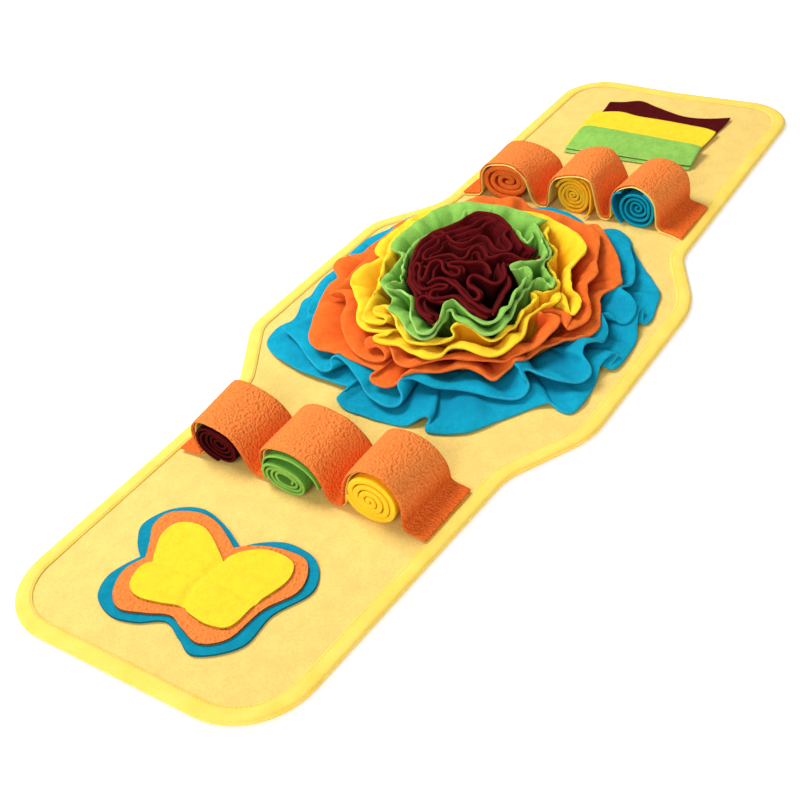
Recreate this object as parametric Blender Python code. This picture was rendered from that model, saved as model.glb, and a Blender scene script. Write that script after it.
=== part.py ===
"""Snuffle mat for a pet: a bound fleece mat with a ruffled flower, two bands of arches with rolls,
a three-layer butterfly and three overlapping flaps.

Metres, +Z up. The origin is at the middle of the underside; +X runs along the length towards the
flaps, +Y to the left of that.
"""

import math

import bmesh
import bpy
from mathutils import Matrix, Vector

MM = 0.001
GAP = 0.3 * MM

# ---- driving dimensions ----
MAT_TOP = 4.5 * MM
BINDING_WIDTH = 14.0 * MM
BINDING_TAPE = 0.8 * MM
BINDING_TOP = 5.6 * MM
BINDING_BEND = 1.5 * MM
FLEECE = 1.8 * MM
LINING = 1.3 * MM

# Corners of the mat's outline, anticlockwise from the near left one.
# x mm, y mm, corner radius mm, steps in the corner's arc
MAT_CORNERS = (
    (-500, 140, 58, 5),
    (-500, -132, 62, 5),
    (-196, -147, 60, 2),
    (-122, -186, 75, 3),
    (86, -186, 95, 3),
    (160, -143, 50, 2),
    (502.2, -136, 52, 5),
    (496, 10, 300, 2),
    (502.2, 138, 50, 5),
    (164, 137, 55, 2),
    (98, 186, 50, 3),
    (-112, 186, 50, 3),
    (-188, 139, 45, 2),
)

# ---- bands of arches ----
# Arch feet, crown and crown height; full is the squareness of each shoulder (2 is an ellipse).
# left foot y, crown y, right foot y, crown z, left full, right full   (mm)
NEAR_ARCHES = (
    (117, 93, 56, 44, 2.7, 1.8),
    (45, 16, -25, 44, 2.3, 2.0),
    (-37, -69, -101, 55, 2.3, 2.6),
)
FAR_ARCHES = (
    (113, 77, 47, 48, 2.8, 2.5),
    (28, -7, -31, 51, 2.3, 3.0),
    (-43, -68, -101, 51, 2.8, 2.9),
)
# front x, width along x, skew of the front edge (x per y), left tab end y, right tab end y   (mm)
NEAR_BAND = (-287, 67, 0.01, 124.5, -127.9)
FAR_BAND = (198, 67, 0.055, 122.4, -126.2)
ARCH_STEPS = 10
ARCH_FOOT = 6 * MM
BAND_ROWS = 2
LINING_SETBACK = 0.8 * MM

# ---- rolls ----
# name, colour, middle y, width, height, squareness, tail angle deg, front x, length,
# hollow depth   (mm)
ROLLS = (
    ("roll_near_left", "maroon", 85, 46, 29, 2.2, 300, -282, 62, 9),
    ("roll_near_mid", "green", 12, 50, 24, 2.4, 200, -286, 62, 5),
    ("roll_near_right", "yellow", -69, 49, 43, 2.05, 60, -293, 68, 3),
    ("roll_far_left", "orange", 79, 53, 37, 2.2, 250, 200, 64, 8),
    ("roll_far_mid", "yellow", 1, 38, 38, 2.0, 20, 200, 64, 3),
    ("roll_far_right", "blue", -73, 43, 40, 2.1, 110, 192, 66, 5),
)
ROLL_STEPS = 18
ROLL_LAP = 2.0 * MM
# Loose ends of three rolls: name, colour, front x, length, flare of the front edge at the free end,
# points across and up from the mat (mm)
ROLL_ENDS = (
    ("roll_near_mid_end", "green", -286, 60, 0,
     ((36.9, 8), (36.9, 15), (32.5, 24.5), (20, 28.9), (5, 27.9), (-8, 24), (-16, 15))),
    ("roll_far_mid_end", "yellow", 198, 50, 12,
     ((-12, 37), (-19, 33), (-22.5, 24), (-23.5, 14), (-24, 6), (-22, 0.6))),
    ("roll_far_right_end", "blue", 193, 55, 2,
     ((-55, 39), (-50.5, 34), (-48.5, 27), (-48, 19), (-48.5, 12))),
)
END_ROWS = 2

# ---- butterfly ----
# Stations round the outline: yellow x, y, orange x, y, blue x, y (mm), sharp notch or not
BUTTERFLY = (
    (-404, 49, -403, 58, -403, 64, True),
    (-395, 54, -388, 67, -391, 78, False),
    (-379, 62, -371, 78, -373, 88, False),
    (-364, 60, -354, 74, -350, 78, False),
    (-357, 46, -344, 52, -338, 55, False),
    (-360, 28, -348, 28, -345, 25, False),
    (-379, -2, -363, 1, -359, -2, True),
    (-366, -8, -354, -12, -347, -14, False),
    (-354, -26, -347, -34, -338, -36, False),
    (-356, -52, -349, -60, -344, -65, False),
    (-374, -60, -375, -73, -370, -81, False),
    (-402, -53, -404, -60, -403, -68, False),
    (-428, -50, -437, -55, -437, -67, False),
    (-435, -34, -451, -38, -460, -41, False),
    (-433, -14, -446, -18, -453, -20, False),
    (-430, -4, -440, -1, -445, 0, False),
    (-435, 14, -447, 18, -456, 20, False),
    (-438, 34, -453, 40, -460, 42, False),
    (-431, 48, -442, 56, -450, 65, False),
    (-415, 53, -421, 64, -428, 73, False),
)
BUTTERFLY_SHEETS = (("butterfly_blue", "blue"), ("butterfly_orange", "orange"),
                    ("butterfly_yellow", "yellow"))
BUTTERFLY_THICK = 1.7 * MM
BUTTERFLY_STEPS = 2

# ---- flaps ----
# name, colour, near x, far x, left y, right y, underside above the mat, wave depth of far edge (mm)
FLAPS = (
    ("flap_maroon", "maroon", 330, 456, 75, -77, 0.3, 8),
    ("flap_yellow", "yellow", 330, 429, 74, -75, 2.5, -3),
)
GREEN_FLAP = (313, 325, 389, 76, -78, 5.4)   # near x under, near x over, fold x, left y, right y, z
FLAP_COLUMNS = 5
FLAP_ROWS = 6
FLAP_CORNER = 4                # how far a flap's corners are rounded back (mm)
FLAP_LIFT = 0.6                # how far the lifted stretches of a flap rise (mm)
GREEN_FLAP_CORNER = 9          # how far the folded flap's corners are rounded back (mm)
GREEN_FLAP_BEND = 12           # how far from the fold its leaves begin to bend (mm)

# ---- flower ----
FLOWER = Vector((5 * MM, 0.0, 0.0))
# name, colour, root radius, edge radius, edge height above the mat, folds, fold depth,
# swing (over 1 the folds overhang), lean to one side, phase deg, crown (over 1 it rises before it
# spreads)   (mm)
RUFFLES = (
    ("ruffle_blue_lower", "blue", 110, 177, 6.0, 9, 5, 0.4, 0.4, 40, 1.5),
    ("ruffle_blue_upper", "blue", 104, 161, 22, 12, 17, 0.65, 0.5, 50, 1.8),
    ("ruffle_orange", "orange", 91, 144, 36, 10, 12, 0.65, 0.5, 90, 1.8),
    ("ruffle_yellow", "yellow", 77, 120, 47, 10, 8, 0.6, 0.5, 50, 1.8),
    ("ruffle_green", "green", 60, 97, 57, 9, 8, 0.6, 0.5, 150, 1.7),
)
# The colours sewn on as two sheets, and how far outside and below the upper one the lower one is.
DOUBLED = ("orange", "yellow", "green")
LOWER_SHEET_OUT = 3.1 * MM
LOWER_SHEET_DROP = 3.0 * MM
FOLD_STEPS = 8
RUFFLE_ROWS = 2
# Folds stand closer than on average about one side, and drift along the ruffle.
FOLD_CROWDING = 0.25
FOLD_CROWD_ANGLE = math.radians(200)
FOLD_DRIFT = 2.4
LOWEST = 1.3                   # middle of a ruffle's root above the mat (mm)
# How far the flower reaches at an angle, as a share of its plain round form.
REACH = ((0, 0.98), (30, 0.97), (60, 0.94), (90, 0.92), (115, 0.98), (137, 1.13), (160, 1.02),
         (180, 1.05), (205, 1.06), (233, 1.07), (262, 0.93), (285, 0.92), (305, 0.99), (338, 1.02))
REACH_FROM = 85                # radius where that share begins to count (mm)
REACH_FULL = 150               # radius where it counts in full (mm)
# Large tucks that push neighbouring ruffles in or out together.
# angle deg, half width deg, push, radius of the strongest push, where it starts and ends, lean deg (mm)
TUCKS = (
    (202, 12, -38, 108, 8, 165, -6),
    (226, 9, 9, 112, 60, 160, 0),
    (184, 9, 9, 115, 60, 160, 0),
    (291, 14, -26, 98, 8, 150, 3),
    (258, 9, -10, 150, 90, 180, 0),
    (150, 12, -12, 145, 90, 185, 0),
    (120, 11, 8, 130, 80, 170, 0),
)
TUCK_HEIGHT = 30               # height from which a tuck counts in full (mm)
# rosette: turns, inner and outer radius, wave length, wave depth, height above the mat (mm)
ROSETTE = (3.1, 10, 77, 30, 8.0, 60)
ROSETTE_STEPS = 6
ROSETTE_ROWS = 2
ROSETTE_THICK = 1.5 * MM
ROSETTE_FOOT = 0.5             # its spread at the mat as a share of that at its top
ROSETTE_CROWN = 1.7
ROSETTE_SWING = 1.3
ROSETTE_START = math.radians(30)
ROSETTE_DOME = 0.13            # how much lower its outer turn stands, as a share of its height
# its strips: name, where each starts and ends along the winding, how much lower its foot is (mm)
ROSETTE_STRIPS = (("rosette_heart", 0.0, 0.30, 0.8), ("rosette_middle", 0.306, 0.64, 0.7),
                  ("rosette_outer", 0.646, 1.0, 0.0))


COLOURS = {
    "mat": (0.90, 0.66, 0.25), "binding": (0.93, 0.76, 0.14), "blue": (0.02, 0.30, 0.55),
    "orange": (0.86, 0.22, 0.06), "yellow": (0.95, 0.68, 0.06), "green": (0.25, 0.56, 0.11),
    "maroon": (0.11, 0.008, 0.015), "lining": (0.93, 0.62, 0.16),
}


def clear_scene():
    for thing in list(bpy.data.objects):
        bpy.data.objects.remove(thing, do_unlink=True)


def fleece(colour):
    name = "fleece_" + colour
    stuff = bpy.data.materials.get(name)
    if stuff is None:
        stuff = bpy.data.materials.new(name)
        stuff.use_nodes = True
        shader = stuff.node_tree.nodes["Principled BSDF"]
        shader.inputs["Base Color"].default_value = (*COLOURS[colour], 1.0)
        shader.inputs["Roughness"].default_value = 0.9
        shader.inputs["Metallic"].default_value = 0.0
    return stuff


def finish(bm, name, colour, thickness=None, smooth=True):
    """Turn a bmesh into a named object; a sheet gets its thickness to both sides of its middle."""
    if thickness:
        bmesh.ops.triangulate(bm, faces=bm.faces[:])
    bmesh.ops.recalc_face_normals(bm, faces=bm.faces[:])
    mesh = bpy.data.meshes.new(name)
    bm.to_mesh(mesh)
    bm.free()
    mesh.materials.append(fleece(colour))
    piece = bpy.data.objects.new(name, mesh)
    bpy.context.collection.objects.link(piece)
    if smooth:
        mesh.shade_smooth()
        mesh.set_sharp_from_angle(angle=math.radians(40))
    if thickness:
        wall = piece.modifiers.new("Thickness", "SOLIDIFY")
        wall.thickness = thickness
        wall.offset = 0.0
        wall.use_even_offset = False
    return piece


def patch(columns, rows, place):
    """An open sheet: a grid whose points are put where place(column, row) says."""
    bm = bmesh.new()
    bmesh.ops.create_grid(bm, x_segments=columns, y_segments=rows, size=0.5)
    for point in bm.verts:
        point.co = place(round((point.co.x + 0.5) * columns), round((point.co.y + 0.5) * rows))
    return bm


def ring(columns, rows, place):
    """A sheet closed round into a ring, with rows from its root to its free edge."""
    bm = bmesh.new()
    bmesh.ops.create_circle(bm, segments=columns, radius=1.0)
    edges = bm.edges[:]
    for row in range(rows):
        grown = bmesh.ops.extrude_edge_only(bm, edges=edges)["geom"]
        edges = [part for part in grown if isinstance(part, bmesh.types.BMEdge)]
        tops = [part for part in grown if isinstance(part, bmesh.types.BMVert)]
        bmesh.ops.translate(bm, verts=tops, vec=(0, 0, 1))
    for point in bm.verts:
        turn = math.atan2(point.co.y, point.co.x) / math.tau
        point.co = place(round(turn * columns) % columns, round(point.co.z))
    return bm


# ---- mat and binding ----

def rounded_outline(corners):
    """Points and outward normals of a closed outline whose corners are arcs."""
    outline = []
    count = len(corners)
    for index, (x, y, radius, steps) in enumerate(corners):
        here = Vector((x, y)) * MM
        before = (Vector(corners[index - 1][:2]) * MM - here).normalized()
        after = (Vector(corners[(index + 1) % count][:2]) * MM - here).normalized()
        half = before.angle(after) / 2
        middle = here + (before + after).normalized() * (radius * MM / math.sin(half))
        reach = radius * MM / math.tan(half)
        first = here + before * reach - middle
        last = here + after * reach - middle
        sweep = math.atan2(first.x * last.y - first.y * last.x, first.dot(last))
        side = 1.0 if sweep > 0 else -1.0
        for step in range(steps + 1):
            spoke = Matrix.Rotation(sweep * step / steps, 2) @ first
            outline.append((middle + spoke, spoke.normalized() * side))
    return outline


def rim_ring(outline, section):
    """A ring that follows the outline, its rows given as (inset, height)."""
    def place(column, row):
        point, normal = outline[column]
        inset, height = section[row]
        return (*(point - normal * inset), height)

    return ring(len(outline), len(section) - 1, place)


def build_mat(outline):
    tape = BINDING_TAPE + 2 * GAP
    section = ((BINDING_WIDTH + GAP, 0.0), (BINDING_WIDTH + GAP, tape), (tape, tape),
               (tape, MAT_TOP))
    bm = rim_ring(outline, section)
    rims = [edge for edge in bm.edges if edge.is_boundary]
    bmesh.ops.holes_fill(bm, edges=rims, sides=0)
    finish(bm, "base_mat", "mat", smooth=False)


def build_binding(outline):
    width, tape, top, bend = BINDING_WIDTH, BINDING_TAPE, BINDING_TOP, BINDING_BEND
    section = ((width, 0.0), (bend, 0.0), (0.0, bend), (0.0, top - bend), (bend, top),
               (width, MAT_TOP + GAP + tape), (width, MAT_TOP + GAP), (tape, MAT_TOP + GAP),
               (tape, tape), (width, tape))
    bm = rim_ring(outline, section)
    rims = [edge for edge in bm.edges if edge.is_boundary]
    bmesh.ops.bridge_loops(bm, edges=rims)
    finish(bm, "binding", "binding")


# ---- bands of arches ----

def arch_points(arch, base):
    """One arch from its left foot over its crown to its right foot, as (y, z)."""
    left, crown, right, top, left_full, right_full = arch
    foot = base + ARCH_FOOT
    rise = top * MM - FLEECE / 2 - foot
    points = []
    for step in range(ARCH_STEPS + 1):
        angle = math.pi * step / ARCH_STEPS
        span, full = (left - crown, left_full) if step * 2 < ARCH_STEPS else (crown - right, right_full)
        across = math.copysign(abs(math.cos(angle)) ** (2 / full), math.cos(angle))
        up = abs(math.sin(angle)) ** (2 / full)
        points.append(Vector(((crown + across * span) * MM, foot + rise * up)))
    return points


def band_path(arches, left_end, right_end, base):
    """The band's middle line across the mat: tab, arches with sewn valleys between, tab."""
    path = [Vector((left_end * MM, base)), Vector((arches[0][0] * MM + ARCH_FOOT, base))]
    for index, arch in enumerate(arches):
        if index:
            valley = (arches[index - 1][2] + arch[0]) / 2
            path.append(Vector((valley * MM, base)))
        path.extend(arch_points(arch, base))
    path.append(Vector((arches[-1][2] * MM - ARCH_FOOT, base)))
    path.append(Vector((right_end * MM, base)))
    return path


def offset_path(path, distance):
    """The same line moved sideways, upwards where it runs level."""
    moved = []
    for index, point in enumerate(path):
        before = path[max(index - 1, 0)]
        after = path[min(index + 1, len(path) - 1)]
        along = (after - before).normalized()
        moved.append(point + Vector((along.y, -along.x)) * distance)
    return moved


def build_band(suffix, arches, band):
    front, width, skew, left_end, right_end = band
    low = MAT_TOP + GAP + LINING / 2
    path = band_path(arches, left_end, right_end, low + LINING / 2 + GAP + FLEECE / 2)
    under = offset_path(path, -(FLEECE + LINING) / 2 - GAP)
    layers = (("loop_strip_", "orange", path, FLEECE, 0.0),
              ("loop_lining_", "lining", under, LINING, LINING_SETBACK))
    for prefix, colour, line, thickness, setback in layers:
        def place(column, row, line=line, setback=setback):
            across, height = line[column]
            along = front * MM + skew * across + setback
            return (along + (width * MM - 2 * setback) * row / BAND_ROWS, across,
                    max(height, low) if thickness == LINING else height)

        bm = patch(len(line) - 1, BAND_ROWS, place)
        finish(bm, prefix + suffix, colour, thickness)


# ---- rolls ----

def roll_outline(width, height, full, tail):
    """A wound outline: a squared ring with a step of one layer where the outer turn ends."""
    points = []
    for step in range(ROLL_STEPS):
        turn = step / ROLL_STEPS
        angle = math.radians(tail) + math.tau * turn
        grow = ROLL_LAP * (turn - 1.0)
        across = math.copysign(abs(math.cos(angle)) ** (2 / full), math.cos(angle))
        up = math.copysign(abs(math.sin(angle)) ** (2 / full), math.sin(angle))
        points.append(Vector((across * (width * MM / 2 + grow), up * (height * MM / 2 + grow))))
    return points


def build_roll(name, colour, middle, width, height, full, tail, front, length, hollow):
    outline = roll_outline(width, height, full, tail)
    centre = Vector((middle * MM, MAT_TOP + GAP - min(point.y for point in outline)))
    # along the roll from its front, share of the outline
    stations = ((hollow, 0.25), (0, 0.6), (0, 1.0), (length, 1.0), (length, 0.6),
                (length - hollow, 0.25))

    def place(column, row):
        along, share = stations[row]
        across, up = centre + outline[column] * share
        return ((front + along) * MM, across, up)

    bm = ring(ROLL_STEPS, len(stations) - 1, place)
    rims = [edge for edge in bm.edges if edge.is_boundary]
    bmesh.ops.holes_fill(bm, edges=rims, sides=0)
    finish(bm, name, colour)


def build_roll_end(name, colour, front, length, flare, points):
    """A roll's loose end: a narrow sheet along points (y, z), its front edge pushed out by flare."""
    def place(column, row):
        across, up = points[column]
        share = column / (len(points) - 1)
        along = front - flare * share ** 2 * (1 - row / END_ROWS)
        return (along * MM + length * MM * row / END_ROWS, across * MM, up * MM + MAT_TOP)

    finish(patch(len(points) - 1, END_ROWS, place), name, colour, LINING)


# ---- butterfly ----

def smooth_outline(stations):
    """A closed curve through stations (x, y, sharp); a sharp one keeps its notch."""
    curve = []
    count = len(stations)
    for index in range(count):
        p0, p1, p2, p3 = (stations[(index + shift) % count] for shift in (-1, 0, 1, 2))
        start = Vector((0, 0)) if p1[2] else (Vector(p2[:2]) - Vector(p0[:2])) / 2
        end = Vector((0, 0)) if p2[2] else (Vector(p3[:2]) - Vector(p1[:2])) / 2
        for step in range(BUTTERFLY_STEPS):
            t = step / BUTTERFLY_STEPS
            point = (Vector(p1[:2]) * (2 * t ** 3 - 3 * t ** 2 + 1) + start * (t ** 3 - 2 * t ** 2 + t)
                     + Vector(p2[:2]) * (3 * t ** 2 - 2 * t ** 3) + end * (t ** 3 - t ** 2))
            curve.append(point * MM)
    return curve


def build_butterfly():
    for layer, (name, colour) in enumerate(BUTTERFLY_SHEETS):
        first = 4 - 2 * layer
        stations = [(*row[first:first + 2], row[6]) for row in BUTTERFLY]
        outline = smooth_outline(stations)
        under = MAT_TOP + GAP + layer * (BUTTERFLY_THICK + GAP)
        bm = bmesh.new()
        rim = [bm.verts.new((*point, under)) for point in outline]
        sheet = bm.faces.new(rim)
        grown = bmesh.ops.extrude_face_region(bm, geom=[sheet])["geom"]
        tops = [part for part in grown if isinstance(part, bmesh.types.BMVert)]
        bmesh.ops.translate(bm, verts=tops, vec=(0, 0, BUTTERFLY_THICK))
        finish(bm, name, colour, smooth=False)


# ---- flaps ----

def build_flap(name, colour, near, far, left, right, under, wave):
    def place(column, row):
        along, across = column / FLAP_COLUMNS, row / FLAP_ROWS
        edge = far + wave * math.sin(math.tau * 1.25 * across + 0.9)
        corner = FLAP_CORNER * (2 * across - 1) ** 6
        x = near + (edge - corner - near) * along
        y = right + (left - right) * across
        z = under + FLAP_LIFT * along * (1 + math.sin(math.tau * 1.5 * across))
        return (x * MM, y * MM, MAT_TOP + FLEECE / 2 + z * MM)

    finish(patch(FLAP_COLUMNS, FLAP_ROWS, place), name, colour, FLEECE)


def build_green_flap():
    under_x, over_x, fold_x, left, right, under = GREEN_FLAP
    bend = FLEECE / 2 / MM + 0.5
    # along x, height over the lower leaf's middle
    section = [(under_x, 0.0), ((under_x + fold_x) / 2, 0.0), (fold_x - GREEN_FLAP_BEND, 0.0)]
    section += [(fold_x - bend + bend * math.cos(math.radians(turn)),
                 bend + bend * math.sin(math.radians(turn))) for turn in (-90, -45, 0, 45, 90)]
    section += [(fold_x - GREEN_FLAP_BEND, 2 * bend), ((over_x + fold_x) / 2, 2 * bend), (over_x, 2 * bend)]

    def place(column, row):
        x, lift = section[column]
        across = row / FLAP_ROWS
        inset = GREEN_FLAP_CORNER * (2 * across - 1) ** 8 * max(0.0, (x - over_x) / (fold_x - over_x)) ** 3
        y = right + (left - right) * across
        return ((x - inset) * MM, y * MM, MAT_TOP + FLEECE / 2 + (under + lift) * MM)

    finish(patch(len(section) - 1, FLAP_ROWS, place), "flap_green", "green", FLEECE)


# ---- flower ----

def bump(distance):
    """A smooth hump: 1 at no distance, 0 from 1 on."""
    return (1 - distance * distance) ** 2 if abs(distance) < 1 else 0.0


def reach_share(angle):
    """REACH read between its rows."""
    degrees = math.degrees(angle) % 360
    rows = [(REACH[-1][0] - 360, REACH[-1][1]), *REACH, (REACH[0][0] + 360, REACH[0][1])]
    for (low, first), (high, last) in zip(rows, rows[1:]):
        if low <= degrees <= high:
            t = (degrees - low) / (high - low)
            return first + (last - first) * t * t * (3 - 2 * t)
    return 1.0


def flower_point(radius, angle, height):
    """Puts a point of the plain round flower where its outline and its tucks move it (mm, rad)."""
    outer = min(max((radius - REACH_FROM) / (REACH_FULL - REACH_FROM), 0.0), 1.0)
    spread = radius * (1 + (reach_share(angle) - 1) * outer)
    turned = angle
    for at, half_width, push, strongest, start, end, lean in TUCKS:
        turn = (math.degrees(angle) - at + 180) % 360 - 180
        near = radius - start if radius < strongest else end - radius
        depth = min(max(near / (strongest - start if radius < strongest else end - strongest), 0.0), 1.0)
        share = depth * bump(turn / half_width / 2) * min(height / TUCK_HEIGHT, 1.0)
        spread += push * share
        turned += math.radians(lean) * share
    return (FLOWER.x + spread * MM * math.cos(turned), FLOWER.y + spread * MM * math.sin(turned),
            MAT_TOP + height * MM)


def crowded(turn):
    """Folds stand closer on the near left side of the flower than on its far right."""
    return turn + FOLD_CROWDING * math.sin(turn - FOLD_CROWD_ANGLE)


def outside(place, turn, share, distance, drop):
    """The point level with a ruffle's own point, a distance outside it, and then a little lower."""
    around = place(turn + 0.01, share) - place(turn - 0.01, share)
    level = Vector((around.y, -around.x, 0.0)).normalized()
    return place(turn, share) + level * distance - Vector((0.0, 0.0, drop * share))


def build_ruffle(name, colour, root, edge, top, folds, depth, swing, lean, phase, crown):
    steps = folds * FOLD_STEPS
    start = math.radians(phase)

    def place(turn, share):
        fold = folds * turn + start + FOLD_DRIFT / 3 * math.sin(3 * turn + start)
        lively = 0.85 + 0.25 * math.sin(2 * turn + 3 * start) + 0.2 * math.sin(5 * turn + 2 * start)
        wave = depth * lively * share ** 1.3
        sway = lean * math.sin(2 * turn + start) * math.sin(fold) - swing * math.sin(2 * fold) / 2
        angle = crowded(turn + share * sway / (folds + FOLD_DRIFT))
        radius = root + (edge - root) * share ** crown + wave * math.sin(fold)
        height = LOWEST + top * share ** 0.85 - 0.05 * wave * math.sin(fold)
        return Vector(flower_point(radius, angle, height))

    sheets = [(name, 0.0, 0.0)]
    if colour in DOUBLED:
        sheets = [(name + "_upper", 0.0, 0.0), (name + "_lower", LOWER_SHEET_OUT, LOWER_SHEET_DROP)]
    for sheet, distance, drop in sheets:
        def point(column, row, distance=distance, drop=drop):
            turn, share = math.tau * column / steps, row / RUFFLE_ROWS
            return outside(place, turn, share, distance, drop)

        finish(ring(steps, RUFFLE_ROWS, point), sheet, colour, FLEECE)


def build_rosette():
    turns, inner, outer, wavelength, depth, top = ROSETTE
    waves = round(math.pi * turns * (inner + outer) / wavelength)
    steps = waves * ROSETTE_STEPS

    def place(wound, share, lower):
        # equal steps of length along the winding
        base = math.sqrt(inner ** 2 + (outer ** 2 - inner ** 2) * wound)
        fold = math.tau * waves * wound
        fade = min(1.0, 0.25 + 6 * wound)
        wave = depth * fade * (0.3 + 0.7 * share) * (1 + 0.2 * math.sin(fold * 0.31))
        spread = ROSETTE_FOOT + (1 - ROSETTE_FOOT) * share ** ROSETTE_CROWN
        radius = (base + wave * math.sin(fold)) * spread
        swing = ROSETTE_SWING * wavelength / math.tau * math.sin(2 * fold) / 2
        angle = math.tau * turns * (base - inner) / (outer - inner) - swing * share * fade / base
        dome = 1 - ROSETTE_DOME * (base / outer) ** 3
        height = LOWEST - lower * (1 - share) + top * dome * share
        return flower_point(radius, angle + ROSETTE_START, height)

    for name, start, end, lower in ROSETTE_STRIPS:
        columns = round(steps * (end - start))

        def point(column, row, start=start, end=end, lower=lower, columns=columns):
            return place(start + (end - start) * column / columns, row / ROSETTE_ROWS, lower)

        finish(patch(columns, ROSETTE_ROWS, point), name, "maroon", ROSETTE_THICK)


def main():
    clear_scene()
    outline = rounded_outline(MAT_CORNERS)
    build_mat(outline)
    build_binding(outline)
    build_band("near", NEAR_ARCHES, NEAR_BAND)
    build_band("far", FAR_ARCHES, FAR_BAND)
    for roll in ROLLS:
        build_roll(*roll)
    for end in ROLL_ENDS:
        build_roll_end(*end)
    build_butterfly()
    for flap in FLAPS:
        build_flap(*flap)
    build_green_flap()
    for ruffle in RUFFLES:
        build_ruffle(*ruffle)
    build_rosette()


main()
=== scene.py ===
"""Snuffle mat: the fleece pieces sewn over its solids.

A long fleece mat in a yellow binding carries a ruffled flower round a maroon rosette, two bands of
arches with fabric rolls under them, a three-layer butterfly and three overlapping flaps.
Metres, +X towards the flaps, +Z up; the tables are in millimetres and degrees.
"""

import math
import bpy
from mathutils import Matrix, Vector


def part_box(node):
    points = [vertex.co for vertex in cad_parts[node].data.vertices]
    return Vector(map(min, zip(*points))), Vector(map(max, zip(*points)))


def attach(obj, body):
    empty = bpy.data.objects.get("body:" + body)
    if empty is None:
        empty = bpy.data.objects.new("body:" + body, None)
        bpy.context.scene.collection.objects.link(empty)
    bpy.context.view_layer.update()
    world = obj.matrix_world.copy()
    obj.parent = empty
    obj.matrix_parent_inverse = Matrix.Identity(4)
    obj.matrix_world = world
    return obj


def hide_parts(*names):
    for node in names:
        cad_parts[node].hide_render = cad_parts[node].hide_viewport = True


bl_info = {
    "name": "Snuffle Mat",
    "version": (1, 0, 0),
    "blender": (4, 5, 0),
    "location": "View3D > Sidebar > Snuffle Mat",
    "description": "Sews the fleece pieces of a snuffle mat over its solids",
    "category": "Object",
}

import bmesh
import bpy
from bpy.props import FloatProperty, FloatVectorProperty, PointerProperty
from bpy.types import Operator, Panel, PropertyGroup
from mathutils import Matrix, Vector, noise
from mathutils.bvhtree import BVHTree

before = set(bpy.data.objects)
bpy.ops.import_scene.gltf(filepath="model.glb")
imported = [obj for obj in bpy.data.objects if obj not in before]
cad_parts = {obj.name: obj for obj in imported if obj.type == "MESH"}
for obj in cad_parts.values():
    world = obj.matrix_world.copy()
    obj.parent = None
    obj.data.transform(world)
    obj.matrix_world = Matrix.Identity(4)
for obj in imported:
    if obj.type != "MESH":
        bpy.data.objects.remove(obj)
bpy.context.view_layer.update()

MM = 0.001
NOISE_SEED = 7


# ---- sizes and colours a user would change ----

class MatSizes(PropertyGroup):
    mat_top: FloatProperty(name="Mat Top", description="Height of the mat's upper face",
                           default=0.0045, unit="LENGTH")
    fleece: FloatProperty(name="Fleece", description="Thickness of the coloured fleece",
                          default=0.0018, unit="LENGTH")
    lining: FloatProperty(name="Lining", description="Thickness of the thin yellow fleece",
                          default=0.0013, unit="LENGTH")
    seam_gap: FloatProperty(name="Seam Gap", description="Space left between pieces that are sewn down",
                            default=0.0003, unit="LENGTH")


def dyed(name, description, default):
    return FloatVectorProperty(name=name, description=description, default=default, size=3,
                               subtype="COLOR", min=0.0, max=1.0)


class MatColours(PropertyGroup):
    mat: dyed("Mat", "Pale yellow fleece of the mat", (0.87, 0.60, 0.17))
    binding: dyed("Binding", "Yellow edge tape", (0.93, 0.65, 0.10))
    blue: dyed("Blue", "Blue fleece", (0.004, 0.34, 0.51))
    orange: dyed("Orange", "Orange fleece of the ruffles and butterfly", (0.80, 0.16, 0.022))
    pebble: dyed("Pebble", "Orange fleece of the arches", (0.86, 0.235, 0.048))
    yellow: dyed("Yellow", "Yellow fleece", (0.95, 0.65, 0.03))
    # the yellow fleece made deeper and warmer for the coil under the far arch: painted shade
    amber: dyed("Amber", "Deeper yellow fleece of one roll", (0.95, 0.52, 0.02))
    green: dyed("Green", "Green fleece", (0.27, 0.54, 0.095))
    maroon: dyed("Maroon", "Maroon fleece", (0.082, 0.002, 0.003))
    lining: dyed("Lining", "Yellow lining of the arches", (0.94, 0.62, 0.10))


def sizes():
    return bpy.context.scene.snuffle_sizes


def colour(name):
    return getattr(bpy.context.scene.snuffle_colours, name)


# ---- materials ----

GLOW_SHARE = 0.35               # how much of the light that falls on a glowing cloth goes into it
SHINE = 0.08
RIM_CUT = (0.93, 1.0)           # where a piece's rim attribute, 1 at its cut edge, begins and ends to show: pale fuzz and painted highlight, or painted shadow
RIM_PAINTED_SHADE = (0.2, 0.9)           # and where folded cloth passes from its painted shade to its plain colour


class Port:
    """An output in a material's tree; arithmetic on it adds Math nodes."""

    def __init__(self, dye, socket):
        self.dye = dye
        self.socket = socket

    def __add__(self, other):
        return self.dye.math("ADD", self, other)

    def __radd__(self, other):
        return self.dye.math("ADD", other, self)

    def __sub__(self, other):
        return self.dye.math("SUBTRACT", self, other)

    def __rsub__(self, other):
        return self.dye.math("SUBTRACT", other, self)

    def __mul__(self, other):
        return self.dye.math("MULTIPLY", self, other)

    def __rmul__(self, other):
        return self.dye.math("MULTIPLY", other, self)


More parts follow.
